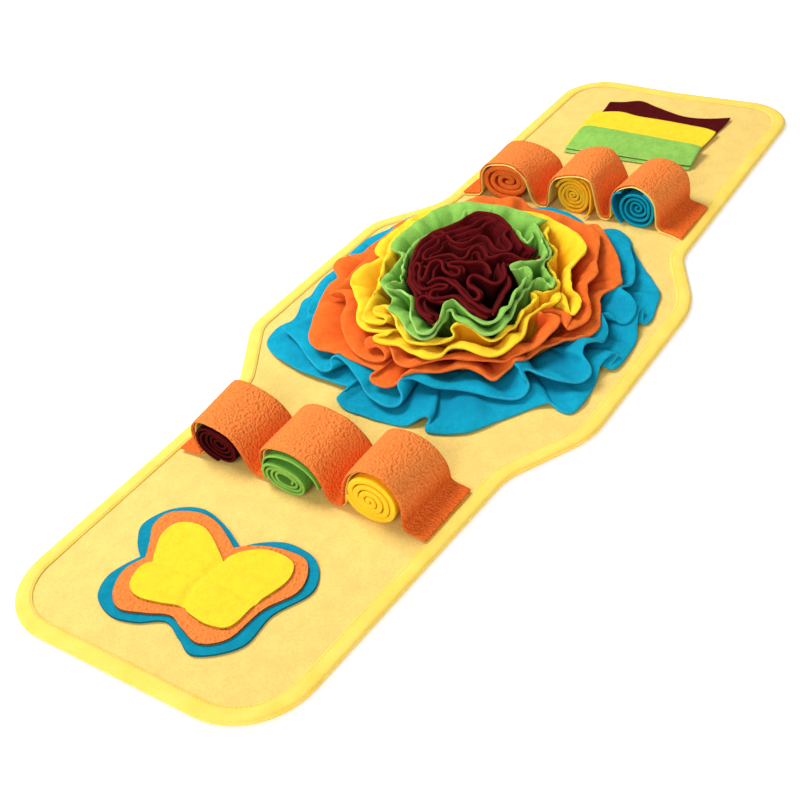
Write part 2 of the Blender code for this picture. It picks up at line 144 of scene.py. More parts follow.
class Dye:
    """A cloth material being mixed."""

    def __init__(self, name):
        self.material = bpy.data.materials.new(name)
        self.material.use_nodes = True
        self.tree = self.material.node_tree
        self.shader = self.tree.nodes["Principled BSDF"]

    def feed(self, target, value):
        if isinstance(value, Port):
            self.tree.links.new(value.socket, target)
        else:
            target.default_value = value

    def node(self, kind, settings=None, values=None, output=0):
        made = self.tree.nodes.new(kind)
        for key, value in (settings or {}).items():
            setattr(made, key, value)
        for key, value in (values or {}).items():
            self.feed(made.inputs[key], value)
        return Port(self, made.outputs[output])

    def math(self, operation, *values):
        return self.node("ShaderNodeMath", {"operation": operation}, dict(enumerate(values)))

    def between(self, value, low, high):
        """0 below low, 1 above high, smooth in between."""
        return self.node("ShaderNodeMapRange", {"interpolation_type": "SMOOTHSTEP"},
                         {"Value": value, "From Min": low, "From Max": high})

    def mix(self, share, first, second):
        return self.node("ShaderNodeMix", {"data_type": "RGBA"}, {0: share, 6: first, 7: second}, 2)

    def noise(self, at, size, detail=3.0, roughness=0.55):
        return self.node("ShaderNodeTexNoise", None,
                         {"Vector": at, "Scale": 1.0 / size, "Detail": detail, "Roughness": roughness})

    def pebbles(self, at, size):
        """Rounded grains with creases between them."""
        return self.node("ShaderNodeTexVoronoi", {"feature": "SMOOTH_F1"},
                         {"Vector": at, "Scale": 1.0 / size, "Smoothness": 0.6})

    def place(self):
        return self.node("ShaderNodeTexCoord", output="Object")

    def height(self, at):
        return self.node("ShaderNodeSeparateXYZ", None, {0: at}, "Z")

    def rim(self):
        return self.node("ShaderNodeAttribute", {"attribute_name": "rim"}, output="Fac")

    def finish(self, base, rough, height, depth, glow=(0.0, 0.0, 0.0)):
        """glow is how far light passes through the cloth in red, green and blue (mm)."""
        self.feed(self.shader.inputs["Base Color"], base)
        self.feed(self.shader.inputs["Roughness"], rough)
        if any(glow):
            self.shader.inputs["Subsurface Weight"].default_value = GLOW_SHARE
            self.shader.inputs["Subsurface Radius"].default_value = glow
            self.shader.inputs["Subsurface Scale"].default_value = MM
        self.shader.inputs["Specular IOR Level"].default_value = SHINE
        bumped = self.node("ShaderNodeBump", None, {"Strength": 1.0, "Distance": depth, "Height": height},
                           output="Normal")
        self.feed(self.shader.inputs["Normal"], bumped)
        return self.material


def shaded(tone, share, pale=0.0):
    """A colour made darker or lighter, and moved towards white by pale."""
    return tuple(min(1.0, part * share + (1.0 - part * share) * pale) for part in tone) + (1.0,)


def dimmed(tone, shares):
    """A colour with its red, green and blue cut down to shares."""
    return [part * share for part, share in zip(tone, shares)]


# How each fleece is finished.
# patch contrast, how much its cut rim shows, the rim's brightness as a share of the cloth's, how far
# the rim moves towards white, how far red, green and blue light pass into it (mm), its red, green
# and blue in the painted shade between the folds as shares of those near a rim
# a rim brighter than its cloth is partly pale fuzz and partly a painted highlight, the maroon's most
FINISHES = {
    "mat": (0.10, 0.0, 1.0, 0.0, (2, 1.4, 0.6), (1, 1, 1)),
    "blue": (0.18, 0.3, 1.15, 0.06, (0, 0, 0), (0.6, 0.62, 0.7)),
    "orange": (0.14, 0.3, 1.2, 0.06, (2, 0.6, 0.3), (0.86, 0.5, 0.4)),
    "yellow": (0.10, 0.25, 1.05, 0.03, (2, 1.2, 0.3), (1.0, 0.72, 0.3)),
    "amber": (0.10, 0.25, 1.05, 0.03, (2, 1.2, 0.3), (1.0, 0.72, 0.3)),
    "green": (0.18, 0.4, 1.25, 0.18, (0, 0, 0), (0.5, 0.66, 0.45)),
    "maroon": (0.30, 0.6, 1.8, 0.003, (0, 0, 0), (0.22, 0.2, 0.2)),
    "lining": (0.10, 0.5, 1.1, 0.15, (2, 1.2, 0.3), (0.95, 0.8, 0.6)),
}


def fleece(name, nap=1.5, tuft=9.0, depth=0.7, folded=True, share=1.0, edge=None):
    """Brushed fleece: a short uneven nap, and a lighter rim where it is cut, partly pale fuzz and partly a
    painted highlight.

    nap, tuft and depth are in mm; share darkens the colour. Folded cloth gets painted shade away from
    its rim. edge, where given, is the share of the colour's brightness on cut edges: a painted shadow.
    """
    label = f"fleece_{name}_{'folded' if folded else 'flat'}_{round(share * 100)}_{nap}"
    ready = bpy.data.materials.get(label)
    if ready:
        return ready
    tone = [part * share for part in colour(name)]
    contrast, rim, gain, pale, glow, painted_shade = FINISHES[name]
    dye = Dye(label)
    at = dye.place()
    nap_height = dye.noise(at, nap * MM, 4.0, 0.65)
    tufts = dye.noise(at, tuft * MM, 2.0)
    mottle = dye.between(nap_height * 0.65 + tufts * 0.35, 0.36, 0.64)
    base = dye.mix(mottle, shaded(tone, 1.0 - contrast), shaded(tone, 1.0 + contrast * 0.5))
    # folded cloth: painted shade, a deeper colour away from its rim
    if folded:
        base = dye.mix(dye.between(dye.rim(), *RIM_PAINTED_SHADE), shaded(dimmed(tone, painted_shade), 1.0), base)
    # the cut rim: pale fuzz with a painted highlight, or a painted shadow where edge is given
    fuzz_and_painted_light = dye.between(dye.rim() + (nap_height - 0.5) * 0.05, *RIM_CUT)
    # a flat layer's cut sides are painted with shadow instead of the lighter rim
    if edge:
        rim, gain, pale = 1.0, edge, 0.0
    base = dye.mix(fuzz_and_painted_light * rim, base, shaded(tone, gain, pale))
    height = nap_height * 0.8 + tufts * 1.2
    return dye.finish(base, 0.95, height, depth * MM, glow)


PEBBLE = 0.0022                 # the coarse fleece's grains, across (m)
PEBBLE_DEPTH = 0.0016           # (m)
PEBBLE_CREASE_SHADE = (1.0, 0.85, 0.8)    # red, green and blue in the painted shade of the creases as shares of those of a grain
ARCH_PAINTED_SHADE = (0.94, 0.62, 0.4)       # and in the painted shade at an arch's foot
ARCH_SHADE_FROM_TO = (0.006, 0.044)       # heights between which an arch's painted shade fades out (m)
# red, green and blue of a flat piece's cut sides as shares of its cloth's: a painted shadow
CUT_SHADOW = (0.3, 0.3, 0.3)


def pebbled(name, arched=True):
    """Coarse fleece with rounded grains and thin creases between them, the grains painted lighter and the
    creases darker as light and shade.

    Over an arch it is painted with shade, deeper near the mat than at the top.
    """
    label = f"pebbled_{name}_{'arched' if arched else 'flat'}"
    ready = bpy.data.materials.get(label)
    if ready:
        return ready
    tone = colour(name)
    dye = Dye(label)
    at = dye.place()
    moved = dye.node("ShaderNodeVectorMath", {"operation": "MULTIPLY_ADD"},
                     {0: dye.node("ShaderNodeTexNoise", None, {"Vector": at, "Scale": 420.0}, "Color"),
                      1: (PEBBLE, PEBBLE, PEBBLE), 2: at})
    grain = dye.pebbles(moved, PEBBLE)
    # grains painted lighter and creases darker: painted light and shade on the relief
    crease = dye.between(grain, 0.35, 0.85)
    base = dye.mix(crease, shaded(tone, 1.06), shaded(dimmed(tone, PEBBLE_CREASE_SHADE), 0.97))
    # painted shade, deepest at an arch's foot and gone by its top
    if arched:
        painted_shade = dimmed(tone, ARCH_PAINTED_SHADE)
        high = dye.between(dye.height(at), *ARCH_SHADE_FROM_TO)
        base = dye.mix(high, dye.mix(crease, shaded(painted_shade, 1.05), shaded(painted_shade, 0.92)), base)
    else:
        # a flat layer's cut sides are painted with shadow
        base = dye.mix(dye.between(dye.rim(), *RIM_CUT), base, shaded(dimmed(tone, CUT_SHADOW), 1.0))
    return dye.finish(base, 0.9, 1.0 - grain, PEBBLE_DEPTH)


TAPE_RIB = 0.0011               # (m)
TAPE_CONTACT_SHADOW = (0.4, 0.25, 0.2)    # red, green and blue of the painted contact shadow where it meets the floor, as shares of the rest
TAPE_CONTACT_SHADOW_FROM_TO = (0.0006, 0.0018)    # heights over which the painted contact shadow fades out (m)


def woven(name):
    """Smooth edge tape with fine slanting ribs, with a painted contact shadow where it meets the floor."""
    tone = colour(name)
    dye = Dye("tape_" + name)
    at = dye.place()
    ribs = dye.node("ShaderNodeTexWave", {"wave_type": "BANDS", "bands_direction": "DIAGONAL"},
                    {"Vector": at, "Scale": 0.31 / TAPE_RIB, "Distortion": 1.2, "Detail": 1.0,
                     "Detail Scale": 3.0}, "Fac")
    cloud = dye.noise(at, 0.02, 3.0)
    mottle = dye.between(ribs * 0.2 + cloud * 0.8, 0.25, 0.75)
    base = dye.mix(mottle, shaded(tone, 0.94), shaded(tone, 1.05, 0.05))
    # painted contact shadow along the tape's foot
    foot = dye.between(dye.height(at), *TAPE_CONTACT_SHADOW_FROM_TO)
    base = dye.mix(foot, shaded(dimmed(tone, TAPE_CONTACT_SHADOW), 1.0), base)
    return dye.finish(base, 0.75, ribs * 0.4 + cloud, 0.0001, (2, 1.2, 0.3))


THREAD_SHARE = 0.95             # the stitches' brightness as a share of their cloth's


def thread_yarn(name):
    """Twisted thread."""
    dye = Dye("thread_" + name)
    twist = dye.noise(dye.place(), 0.0006, 2.0)
    base = dye.mix(twist, shaded(colour(name), THREAD_SHARE * 0.85),
                   shaded(colour(name), THREAD_SHARE, 0.1))
    return dye.finish(base, 0.6, twist, 0.0001)


# ---- sheets, rings and curves ----

RIM_FADE = 0.3                  # how far the rim attribute falls from a row of a flat sheet to the next


def cut_rim(*away):
    """A point's rim attribute from how many rows it lies away from each cut edge."""
    return max(0.0, 1.0 - min(away) * RIM_FADE)


def patch(bm, columns, rows, place, rim):
    """An open sheet: a grid whose points are put where place(column, row) says.

    rim(column, row) is how near a cut edge a point is, 1 at it.
    """
    layer = bm.verts.layers.float.get("rim") or bm.verts.layers.float.new("rim")
    for point in bmesh.ops.create_grid(bm, x_segments=columns, y_segments=rows, size=0.5)["verts"]:
        column, row = round((point.co.x + 0.5) * columns), round((point.co.y + 0.5) * rows)
        point[layer] = rim(column, row)
        point.co = place(column, row)


def ring(bm, columns, rows, place):
    """A sheet closed round into a ring, with rows from its root to its free edge."""
    layer = bm.verts.layers.float.new("rim")
    bmesh.ops.create_circle(bm, segments=columns, radius=1.0)
    edges = bm.edges[:]
    for row in range(rows):
        grown = bmesh.ops.extrude_edge_only(bm, edges=edges)["geom"]
        edges = [part for part in grown if isinstance(part, bmesh.types.BMEdge)]
        tops = [part for part in grown if isinstance(part, bmesh.types.BMVert)]
        bmesh.ops.translate(bm, verts=tops, vec=(0, 0, 1))
    for point in bm.verts:
        turn = math.atan2(point.co.y, point.co.x) / math.tau
        row = round(point.co.z)
        # the rim attribute, 1 at the free edge, also sets how much painted shade a folded sheet gets
        point[layer] = row / rows
        point.co = place(round(turn * columns) % columns, row)


def cut_cells(bm, low, high, cell):
    """Cuts a flat piece into cells between the corners low and high, for it to be shaped."""
    for axis in range(2):
        across = Vector((1 - axis, axis, 0))
        reach = high[axis] - low[axis]
        steps = round(reach / cell)
        for step in range(1, steps):
            bmesh.ops.bisect_plane(bm, geom=bm.verts[:] + bm.edges[:] + bm.faces[:], dist=1e-6,
                                   plane_co=across * (low[axis] + reach * step / steps), plane_no=across)


def between_points(p1, p2, start, end, t):
    """A point on the curve that leaves p1 along start and reaches p2 along end."""
    return (p1 * (2 * t ** 3 - 3 * t ** 2 + 1) + start * (t ** 3 - 2 * t ** 2 + t)
            + p2 * (3 * t ** 2 - 2 * t ** 3) + end * (t ** 3 - t ** 2))


def bend(p0, p1, p2, p3, t):
    """A point between p1 and p2 on the smooth curve through all four."""
    a, b, c = ((q - p).length ** 0.5 + 1e-6 for p, q in ((p0, p1), (p1, p2), (p2, p3)))
    start = ((p1 - p0) / a - (p2 - p0) / (a + b) + (p2 - p1) / b) * b
    end = ((p2 - p1) / b - (p3 - p1) / (b + c) + (p3 - p2) / c) * b
    return between_points(p1, p2, start, end, t)


def curve(points, count, closed=False, steps=10):
    """Evenly spaced points along the smooth curve through points."""
    last = len(points) - 1
    fine = []
    for index in range(len(points) if closed else last):
        near = [points[(index + shift) % (last + 1) if closed else min(max(index + shift, 0), last)]
                for shift in (-1, 0, 1, 2)]
        if not closed and index == 0:
            near[0] = near[1] * 2 - near[2]
        if not closed and index == last - 1:
            near[3] = near[2] * 2 - near[1]
        fine += [bend(*near, step / steps) for step in range(steps)]
    fine.append((points[0] if closed else points[-1]).copy())
    lengths = [0.0]
    for before, after in zip(fine, fine[1:]):
        lengths.append(lengths[-1] + (after - before).length)
    spaced = []
    at = 0
    for step in range(count):
        wanted = lengths[-1] * step / (count if closed else count - 1)
        while at < len(lengths) - 2 and lengths[at + 1] < wanted:
            at += 1
        share = (wanted - lengths[at]) / max(lengths[at + 1] - lengths[at], 1e-9)
        spaced.append(fine[at].lerp(fine[at + 1], min(share, 1.0)))
    return spaced, lengths[-1]


def smoothed(points, spread):
    """The closed course of points with its folds evened out; spread is in points."""
    reach = int(spread * 2.6)
    weights = [math.exp(-0.5 * (shift / spread) ** 2) for shift in range(-reach, reach + 1)]
    total = sum(weights)
    count = len(points)
    evened = []
    for index in range(count):
        mean = Vector((0.0, 0.0, 0.0))
        for shift, weight in zip(range(-reach, reach + 1), weights):
            mean += points[(index + shift) % count] * weight
        evened.append(mean / total)
    return evened


def sewn(bm, name, stuff, slot, nodes=(), thickness=0.0, levels=0):
    """Turns a bmesh into a finished piece that stands for its solids."""
    bmesh.ops.recalc_face_normals(bm, faces=bm.faces[:])
    mesh = bpy.data.meshes.new(name)
    bm.to_mesh(mesh)
    bm.free()
    mesh.materials.append(stuff)
    mesh.shade_smooth()
    made = bpy.data.objects.new(name, mesh)
    bpy.context.collection.objects.link(made)
    if thickness:
        wall = made.modifiers.new("Thickness", "SOLIDIFY")
        wall.thickness = thickness
        wall.offset = 0.0
        wall.use_even_offset = False
    if levels:
        soft = made.modifiers.new("Soft", "SUBSURF")
        soft.levels = levels
        soft.render_levels = levels
    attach(made, "root")
    if nodes:
        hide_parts(*nodes)
    return made


def ripple(point, size, depth):
    """Small unevenness of hand-cut cloth, the same on every run."""
    return noise.noise_vector(point / size) * depth


# ---- mat and binding ----

# Corners of the mat's outline, anticlockwise from the near left one.
# x, y, corner radius (mm)
MAT_CORNERS = (
    (-500, 140, 58), (-500, -132, 62), (-196, -147, 60), (-122, -186, 75), (86, -186, 95),
    (160, -143, 50), (502.2, -136, 52), (496, 10, 300), (502.2, 138, 50), (164, 137, 55),
    (98, 186, 50), (-112, 186, 50), (-188, 139, 45),
)
MAT_FLAT = (0.372, 1.0)         # its width and its length (m)
MAT_INSET = 0.0012              # how far the fleece ends inside the binding's outline (m)
MAT_CELL = 0.012                # (m)
MAT_SWELL = 0.0004              # (m)
ARC_STEP = math.radians(7)
STRAIGHT_STEP = 12 * MM
# The binding's section, from its inner edge under the mat round to its inner edge on top.
# inset from the outline, height (mm)
BINDING_SECTION = (
    (14.0, 0.0), (8.0, 0.0), (2.0, 0.0), (0.9, 0.5), (0.2, 1.4), (0.0, 2.8), (0.2, 4.2), (0.9, 5.2),
    (2.6, 5.8), (6.0, 6.0), (10.0, 5.9), (12.0, 5.7), (13.4, 5.3), (14.0, 4.8), (14.0, 4.6), (8.0, 4.6),
)
BINDING_PUFFED = range(5, 12)   # the rows of its section that are uneven
BINDING_PUFF = 0.25             # (mm)
STITCH_LINE = 1400              # points on the line of stitches
STITCH_INSET = 12.0 * MM
STITCH_PITCH = 3.6 * MM
STITCH_SIZE = (2.3, 0.6, 0.5)   # (mm)
STITCH_HEIGHT = 5.6 * MM


def mat_outline():
    """Points and outward normals of the mat's outline."""
    count = len(MAT_CORNERS)
    outline = []
    for index, (x, y, radius) in enumerate(MAT_CORNERS):
        here = Vector((x, y)) * MM
        before = (Vector(MAT_CORNERS[index - 1][:2]) * MM - here).normalized()
        after = (Vector(MAT_CORNERS[(index + 1) % count][:2]) * MM - here).normalized()
        half = before.angle(after) / 2
        middle = here + (before + after).normalized() * (radius * MM / math.sin(half))
        reach = radius * MM / math.tan(half)
        first = here + before * reach - middle
        last = here + after * reach - middle
        sweep = math.atan2(first.x * last.y - first.y * last.x, first.dot(last))
        side = 1.0 if sweep > 0 else -1.0
        steps = max(2, round(abs(sweep) / ARC_STEP))
        arc = []
        for step in range(steps + 1):
            spoke = Matrix.Rotation(sweep * step / steps, 2) @ first
            arc.append((middle + spoke, spoke.normalized() * side))
        if outline:
            outline += straight(outline[-1], arc[0])
        outline += arc
    outline += straight(outline[-1], outline[0])
    return outline


def straight(start, end):
    """Points between two of the outline's, without either."""
    steps = max(1, round((end[0] - start[0]).length / STRAIGHT_STEP))
    return [(start[0].lerp(end[0], step / steps), start[1].lerp(end[1], step / steps).normalized())
            for step in range(1, steps)]


def swell(at):
    """The mat's soft unevenness, downwards only."""
    return -MAT_SWELL * (1 + noise.noise(Vector((at.x * 22, at.y * 26, 0.3)))) / 2


class SNUFFLE_OT_mat(Operator):
    """Makes the fleece mat"""
    bl_idname = "snuffle.mat"
    bl_label = "Mat"

    def execute(self, context):
        outline = mat_outline()
        top = sizes().mat_top
        inner = [Vector((*(point - normal * MAT_INSET), 0.0)) for point, normal in outline]
        bm = bmesh.new()
        bm.faces.new([bm.verts.new(point) for point in inner])
        wide, long = MAT_FLAT
        cut_cells(bm, (-long / 2, -wide / 2), (long / 2, wide / 2), MAT_CELL)
        bmesh.ops.solidify(bm, geom=bm.faces[:], thickness=top)
        middle = sum(vert.co.z for vert in bm.verts) / len(bm.verts)
        for vert in bm.verts:
            vert.co.z = top + swell(vert.co) if vert.co.z > middle else 0.0
        stuff = fleece("mat", nap=1.8, tuft=16, depth=0.5, folded=False)
        mat = sewn(bm, "fleece_mat", stuff, "mat", ["base_mat"])
        mat.data.set_sharp_from_angle(angle=math.radians(50))
        return {"FINISHED"}


class SNUFFLE_OT_binding(Operator):
    """Makes the stitched edge tape round the mat"""
    bl_idname = "snuffle.binding"
    bl_label = "Binding"

    def execute(self, context):
        outline = mat_outline()

        def place(column, row):
            point, normal = outline[column]
            inset, height = BINDING_SECTION[row]
            if row in BINDING_PUFFED:
                height += BINDING_PUFF * noise.noise(Vector((point.x * 60, point.y * 60, row * 0.4)))
            return (*(point - normal * inset * MM), height * MM)

        bm = bmesh.new()
        ring(bm, len(outline), len(BINDING_SECTION) - 1, place)
        rims = [edge for edge in bm.edges if edge.is_boundary]
        bmesh.ops.bridge_loops(bm, edges=rims)
        tape = sewn(bm, "edge_binding", woven("binding"), "binding", ["binding"])
        tape.data.set_sharp_from_angle(angle=math.radians(60))
        self.stitch(outline)
        return {"FINISHED"}

    def stitch(self, outline):
        """A row of short stitches along the binding's inner edge."""
        line, length = curve([Vector((*(point - normal * STITCH_INSET), 0.0)) for point, normal in outline],
                             STITCH_LINE, closed=True, steps=2)
        bm = bmesh.new()
        pitch = max(1, round(STITCH_LINE * STITCH_PITCH / length))
        for index in range(0, STITCH_LINE - pitch, pitch):
            here, there = line[index], line[index + 1]
            turn = math.atan2(there.y - here.y, there.x - here.x)
            made = bmesh.ops.create_cube(bm, size=1.0)["verts"]
            bmesh.ops.scale(bm, verts=made, vec=[side * MM for side in STITCH_SIZE])
            bmesh.ops.rotate(bm, verts=made, cent=(0, 0, 0), matrix=Matrix.Rotation(turn, 3, "Z"))
            bmesh.ops.translate(bm, verts=made, vec=(here.x, here.y, STITCH_HEIGHT))
        sewn(bm, "binding_stitches", thread_yarn("binding"), "binding")


# ---- bands of arches ----

# The bends of each band from its left tab to its right one: where its front edge and its back edge
# pass, middle of the cloth.
# front y, front height, back y, back height (mm)
NEAR_BENDS = (
    (122.5, 7, 122.5, 7), (104, 7, 110, 7), (100, 10, 106, 10), (103.5, 21, 109, 20),
    (105, 32, 110, 31.5), (100.5, 40.5, 105.5, 40.5), (88, 43.5, 94, 43.8), (76, 42, 82, 42.5),
    (64.5, 37.5, 69.5, 37.5), (56, 29, 59.5, 30), (50, 19.5, 52, 20.5), (45.5, 12, 47, 12),
    (40.5, 7.6, 41.5, 7.6), (35, 7, 36, 7), (30, 8, 31.5, 8), (29.5, 14, 33, 15),
    (32.5, 24, 35.5, 26), (31, 34, 33, 35), (25, 39.5, 25.5, 41), (15, 42, 16, 44.5),
    (4, 43.3, 6, 45), (-7, 42, -4, 43), (-17, 38, -14.5, 39.8), (-25, 31, -23, 33),
    (-30.5, 20, -31, 24), (-33, 12, -36, 13.5), (-37, 7.6, -40, 7.8), (-42, 7, -43.5, 7),
    (-47, 8, -47.5, 8), (-49, 15, -49.5, 17), (-51, 27, -51, 30), (-56.5, 40.5, -54.5, 40),
    (-67.5, 50, -63, 46), (-80, 52.5, -76, 48.5), (-93, 49.5, -90, 45.5), (-102, 41, -101, 38),
    (-106.2, 29, -108.5, 27), (-107, 16, -110.5, 15), (-107.5, 10, -110.5, 10), (-112, 7, -115, 7),
    (-130, 7, -131, 7),
)
FAR_BENDS = (
    (125, 7, 123, 7), (109, 7, 114, 7), (105, 10, 110.5, 10), (104.5, 20, 110, 19),
    (103.5, 33, 109, 30.5), (97, 42.5, 102.5, 37), (82, 47, 92, 40), (69, 47.4, 79, 40.5),
    (57.5, 43, 66, 38.5), (48.5, 34.5, 54, 33.5), (44, 23.5, 44.5, 25.5), (40.5, 13, 40, 14),
    (36, 7.8, 36, 7.8), (31, 7, 31, 7), (26.5, 8, 26, 8), (24.5, 18, 24, 18),
    (22.5, 31, 23, 31), (16, 41.5, 18, 40.5), (5, 46.8, 7.5, 45.8), (-8, 49.8, -5, 49.6),
    (-20, 49.8, -17, 49), (-27, 46.5, -26, 42), (-30.5, 37, -33, 31), (-32.5, 25, -37.5, 20),
    (-35.5, 13, -39.5, 12), (-39, 7.6, -41, 7.6), (-42.5, 7, -43.5, 7), (-45.5, 8, -46, 8),
    (-47, 20, -49, 18), (-49.5, 34.5, -52, 31), (-55.5, 43.5, -57, 40), (-64, 48.5, -68, 46.5),
    (-75, 51, -82, 48.8), (-86, 47.5, -93.5, 46), (-94.5, 41, -102.5, 40), (-99.5, 33.5, -107, 28),
    (-101, 21, -107.5, 16), (-102, 10, -107, 10), (-107, 7, -111, 7), (-131, 7, -131, 7),
)
# suffix, bends, front x, back x, how far both edges draw in at an arch's crown, how far the tabs'
# ends lie nearer, how far the lining stands in from the front edge (mm)
BANDS = (
    ("near", NEAR_BENDS, -287, -220, 3.0, 3.0, 3.0),
    ("far", FAR_BENDS, 194, 263, 2.0, 9.0, -1.3),
)
BAND_STEPS = 180
BAND_ROWS = 10
BAND_HALF = 128.0               # half the length of a band on the mat (mm)
ARCH_FOOT = 8.0                 # height at which an arch leaves the mat (mm)
ARCH_RISE = 45.0                # from there to its crown (mm)
BAND_SWAY = (0.0010, 0.0008, 0.0012)    # unevenness along the mat, across it and upwards (m)
ORANGE_THICK = 2.2 * MM


def offset_path(path, distance):
    """The same line moved sideways, upwards where it runs level."""
    moved = []
    for index, point in enumerate(path):
        before = path[max(index - 1, 0)]
        after = path[min(index + 1, len(path) - 1)]
        along = (after - before).normalized()
        moved.append(point + Vector((0.0, along.z, -along.y)) * distance)
    return moved


class SNUFFLE_OT_bands(Operator):
    """Makes the two bands of orange arches with their yellow lining"""
    bl_idname = "snuffle.bands"
    bl_label = "Arch Bands"

    def execute(self, context):
        for band in BANDS:
            self.sew(*band)
        return {"FINISHED"}

    def sew(self, suffix, bends, front, back, crown, pull, setback):
        thin, gap = sizes().lining, sizes().seam_gap
        low = sizes().mat_top + gap + thin / 2
        level = low + thin / 2 + gap + ORANGE_THICK / 2
        edges = []
        for y, z in ((0, 1), (2, 3)):
            line, length = curve([Vector((0.0, row[y] * MM, max(row[z] * MM, level))) for row in bends],
                                 BAND_STEPS, steps=6)
            edges.append(line)
        under = [offset_path(line, -(ORANGE_THICK + thin) / 2 - gap) for line in edges]
        # the lining is painted with shade away from its edges, and the orange strip towards the mat
        layers = (
            ("orange_strip_", "loop_strip_", "orange", pebbled("pebble"), edges, level, ORANGE_THICK, 0.0),
            ("arch_lining_", "loop_lining_", "lining", fleece("lining", nap=1.2, depth=0.3), under, low,
             thin, setback),
        )
        for name, node, slot, stuff, (near, far), lowest, through, inset in layers:
            def place(column, row, near=near, far=far, lowest=lowest, inset=inset):
                share = row / BAND_ROWS
                middle = near[column].lerp(far[column], share)
                rise = min(1.0, max(0.0, middle.z / MM - ARCH_FOOT) / ARCH_RISE)
                along = front + inset + crown * rise
                along += (back - inset - crown * rise - along) * share
                along -= pull * (middle.y / MM / BAND_HALF) ** 6
                sway = noise.noise_vector(Vector((middle.y * 30, middle.z * 30, share * 1.5 + front)))
                lift = min(1.0, rise * 6)
                return (along * MM + sway.x * BAND_SWAY[0], middle.y + sway.y * BAND_SWAY[1] * lift,
                        max(middle.z + sway.z * BAND_SWAY[2] * lift, lowest))

            bm = bmesh.new()
            patch(bm, BAND_STEPS - 1, BAND_ROWS, place,
                  lambda column, row: cut_rim(row, BAND_ROWS - row))
            strip = sewn(bm, name + suffix, stuff, slot, [node + suffix], through, levels=1)
            (back - front) * MM


# ---- rolls ----

# Each roll is wound from its outer end inwards. lean tips its section, left side up; tail is where
# its outer end lies, turns how many there are, pitch the step from one to the next and fill the
# share of it that is cloth. sink is how far the core stands in (+) or out (-), sense which way it
# is wound. The roll's far end is smaller by the share taper and lies shift to the left.
# name, node, dye, slot, middle y, width, height, squareness, lean deg, tail deg, turns, pitch,
# fill, front x, length, sink, sense, taper, shift (mm)
ROLLS = (
    ("maroon_roll", "roll_near_left", "maroon", "maroon", 79.5, 47, 36, 2.3, 12, 268, 4.8, 3.5,
     0.75, -286, 60, 4, 1, 0, 3),
    ("green_roll", "roll_near_mid", "green", "green", 5, 47, 29, 2.3, 7, 330, 3.7, 3.2,
     0.8, -291, 66, 2, 1, 0, 2),
    ("yellow_roll", "roll_near_right", "yellow", "yellow", -79.2, 52.5, 48, 2.05, 0, 350, 4.3, 5.3,
     0.92, -287, 62, -3, -1, 0.13, 4),
    ("orange_roll", "roll_far_left", "orange", "orange", 73, 61, 43, 2.3, -4, 250, 3.3, 6.5,
     0.84, 194, 62, 4, 1, 0.22, 7),
    # the coil under the far arch is painted with shade through its deeper yellow
    ("yellow_coil", "roll_far_mid", "amber", "yellow", -4.5, 42, 43, 2.0, 0, 20, 5.0, 4.0,
     0.85, 196, 64, 2, 1, 0, 1),
    ("blue_roll", "roll_far_right", "blue", "blue", -77, 43, 43, 2.3, 0, 110, 4.2, 4.8,
     0.62, 193, 66, 4, 1, 0.08, -4),
)
ROLL_STEPS = 30                 # a turn
ROLL_LOOSE = (0.4, 0.3)         # slow and quick unevenness of a turn (mm)
ROLL_STAGGER = 0.8              # how far the turns' front edges stand out of line (mm)
# rows of a roll from its front end, as shares of its length; the first stand close for a round edge
ROLL_ROWS = (0.0, 0.018, 0.06, 0.3, 0.6, 0.94, 0.982, 1.0)
# Loose ends of three rolls: name, node, dye, slot, front x, length, flare of the front edge at the
# free end, points across and up from the mat (mm)
ROLL_ENDS = (
    ("green_roll_end", "roll_near_mid_end", "green", "green", -288, 60, 0,
     ((28, 5), (29, 14), (25.5, 26), (14, 33), (-2, 34.5), (-15, 30.5), (-24, 23), (-28, 13))),
    ("yellow_coil_end", "roll_far_mid_end", "amber", "yellow", 196, 50, 10,
     ((-14, 40), (-21, 36.5), (-25.5, 28), (-27, 17), (-26.5, 8), (-22, 1.8))),
    ("blue_roll_end", "roll_far_right_end", "blue", "blue", 192, 48, 2,
     ((-62, 37), (-55, 34.5), (-51.5, 27), (-52.5, 18), (-57, 9), (-63, 3))),
)
ROLL_END_STEPS = 39


def turns_of(width, height, full, lean, tail, turns, pitch, half, sense):
    """A roll's turns from its outer end in, as (0, y, z) about its middle."""
    radius = (width + height) / 4 - half
    tilt = Matrix.Rotation(math.radians(lean), 3, "X")
    points = []
    for step in range(round(turns * ROLL_STEPS) + 1):
        turn = step / ROLL_STEPS
        angle = math.radians(tail) + sense * math.tau * turn
        share = max(0.05, 1.0 - pitch * turn / radius)
        power = 2.0 / (2.0 + (full - 2.0) * share)
        across = math.copysign(abs(math.cos(angle)) ** power, math.cos(angle))
        up = math.copysign(abs(math.sin(angle)) ** power, math.sin(angle))
        loose = ROLL_LOOSE[0] * math.sin(3.1 * angle + turn) + ROLL_LOOSE[1] * math.sin(1.7 * angle)
        points.append(tilt @ Vector((0.0, across * ((width / 2 - half) * share + loose) * MM,
                                     up * ((height / 2 - half) * share + loose * 0.5) * MM)))
    return points


def shade_behind_front(column, row):
    """A roll has its cloth's plain colour at its front edge and is painted with shade further in."""
    return 0.0 if row else RIM_PAINTED_SHADE[1]


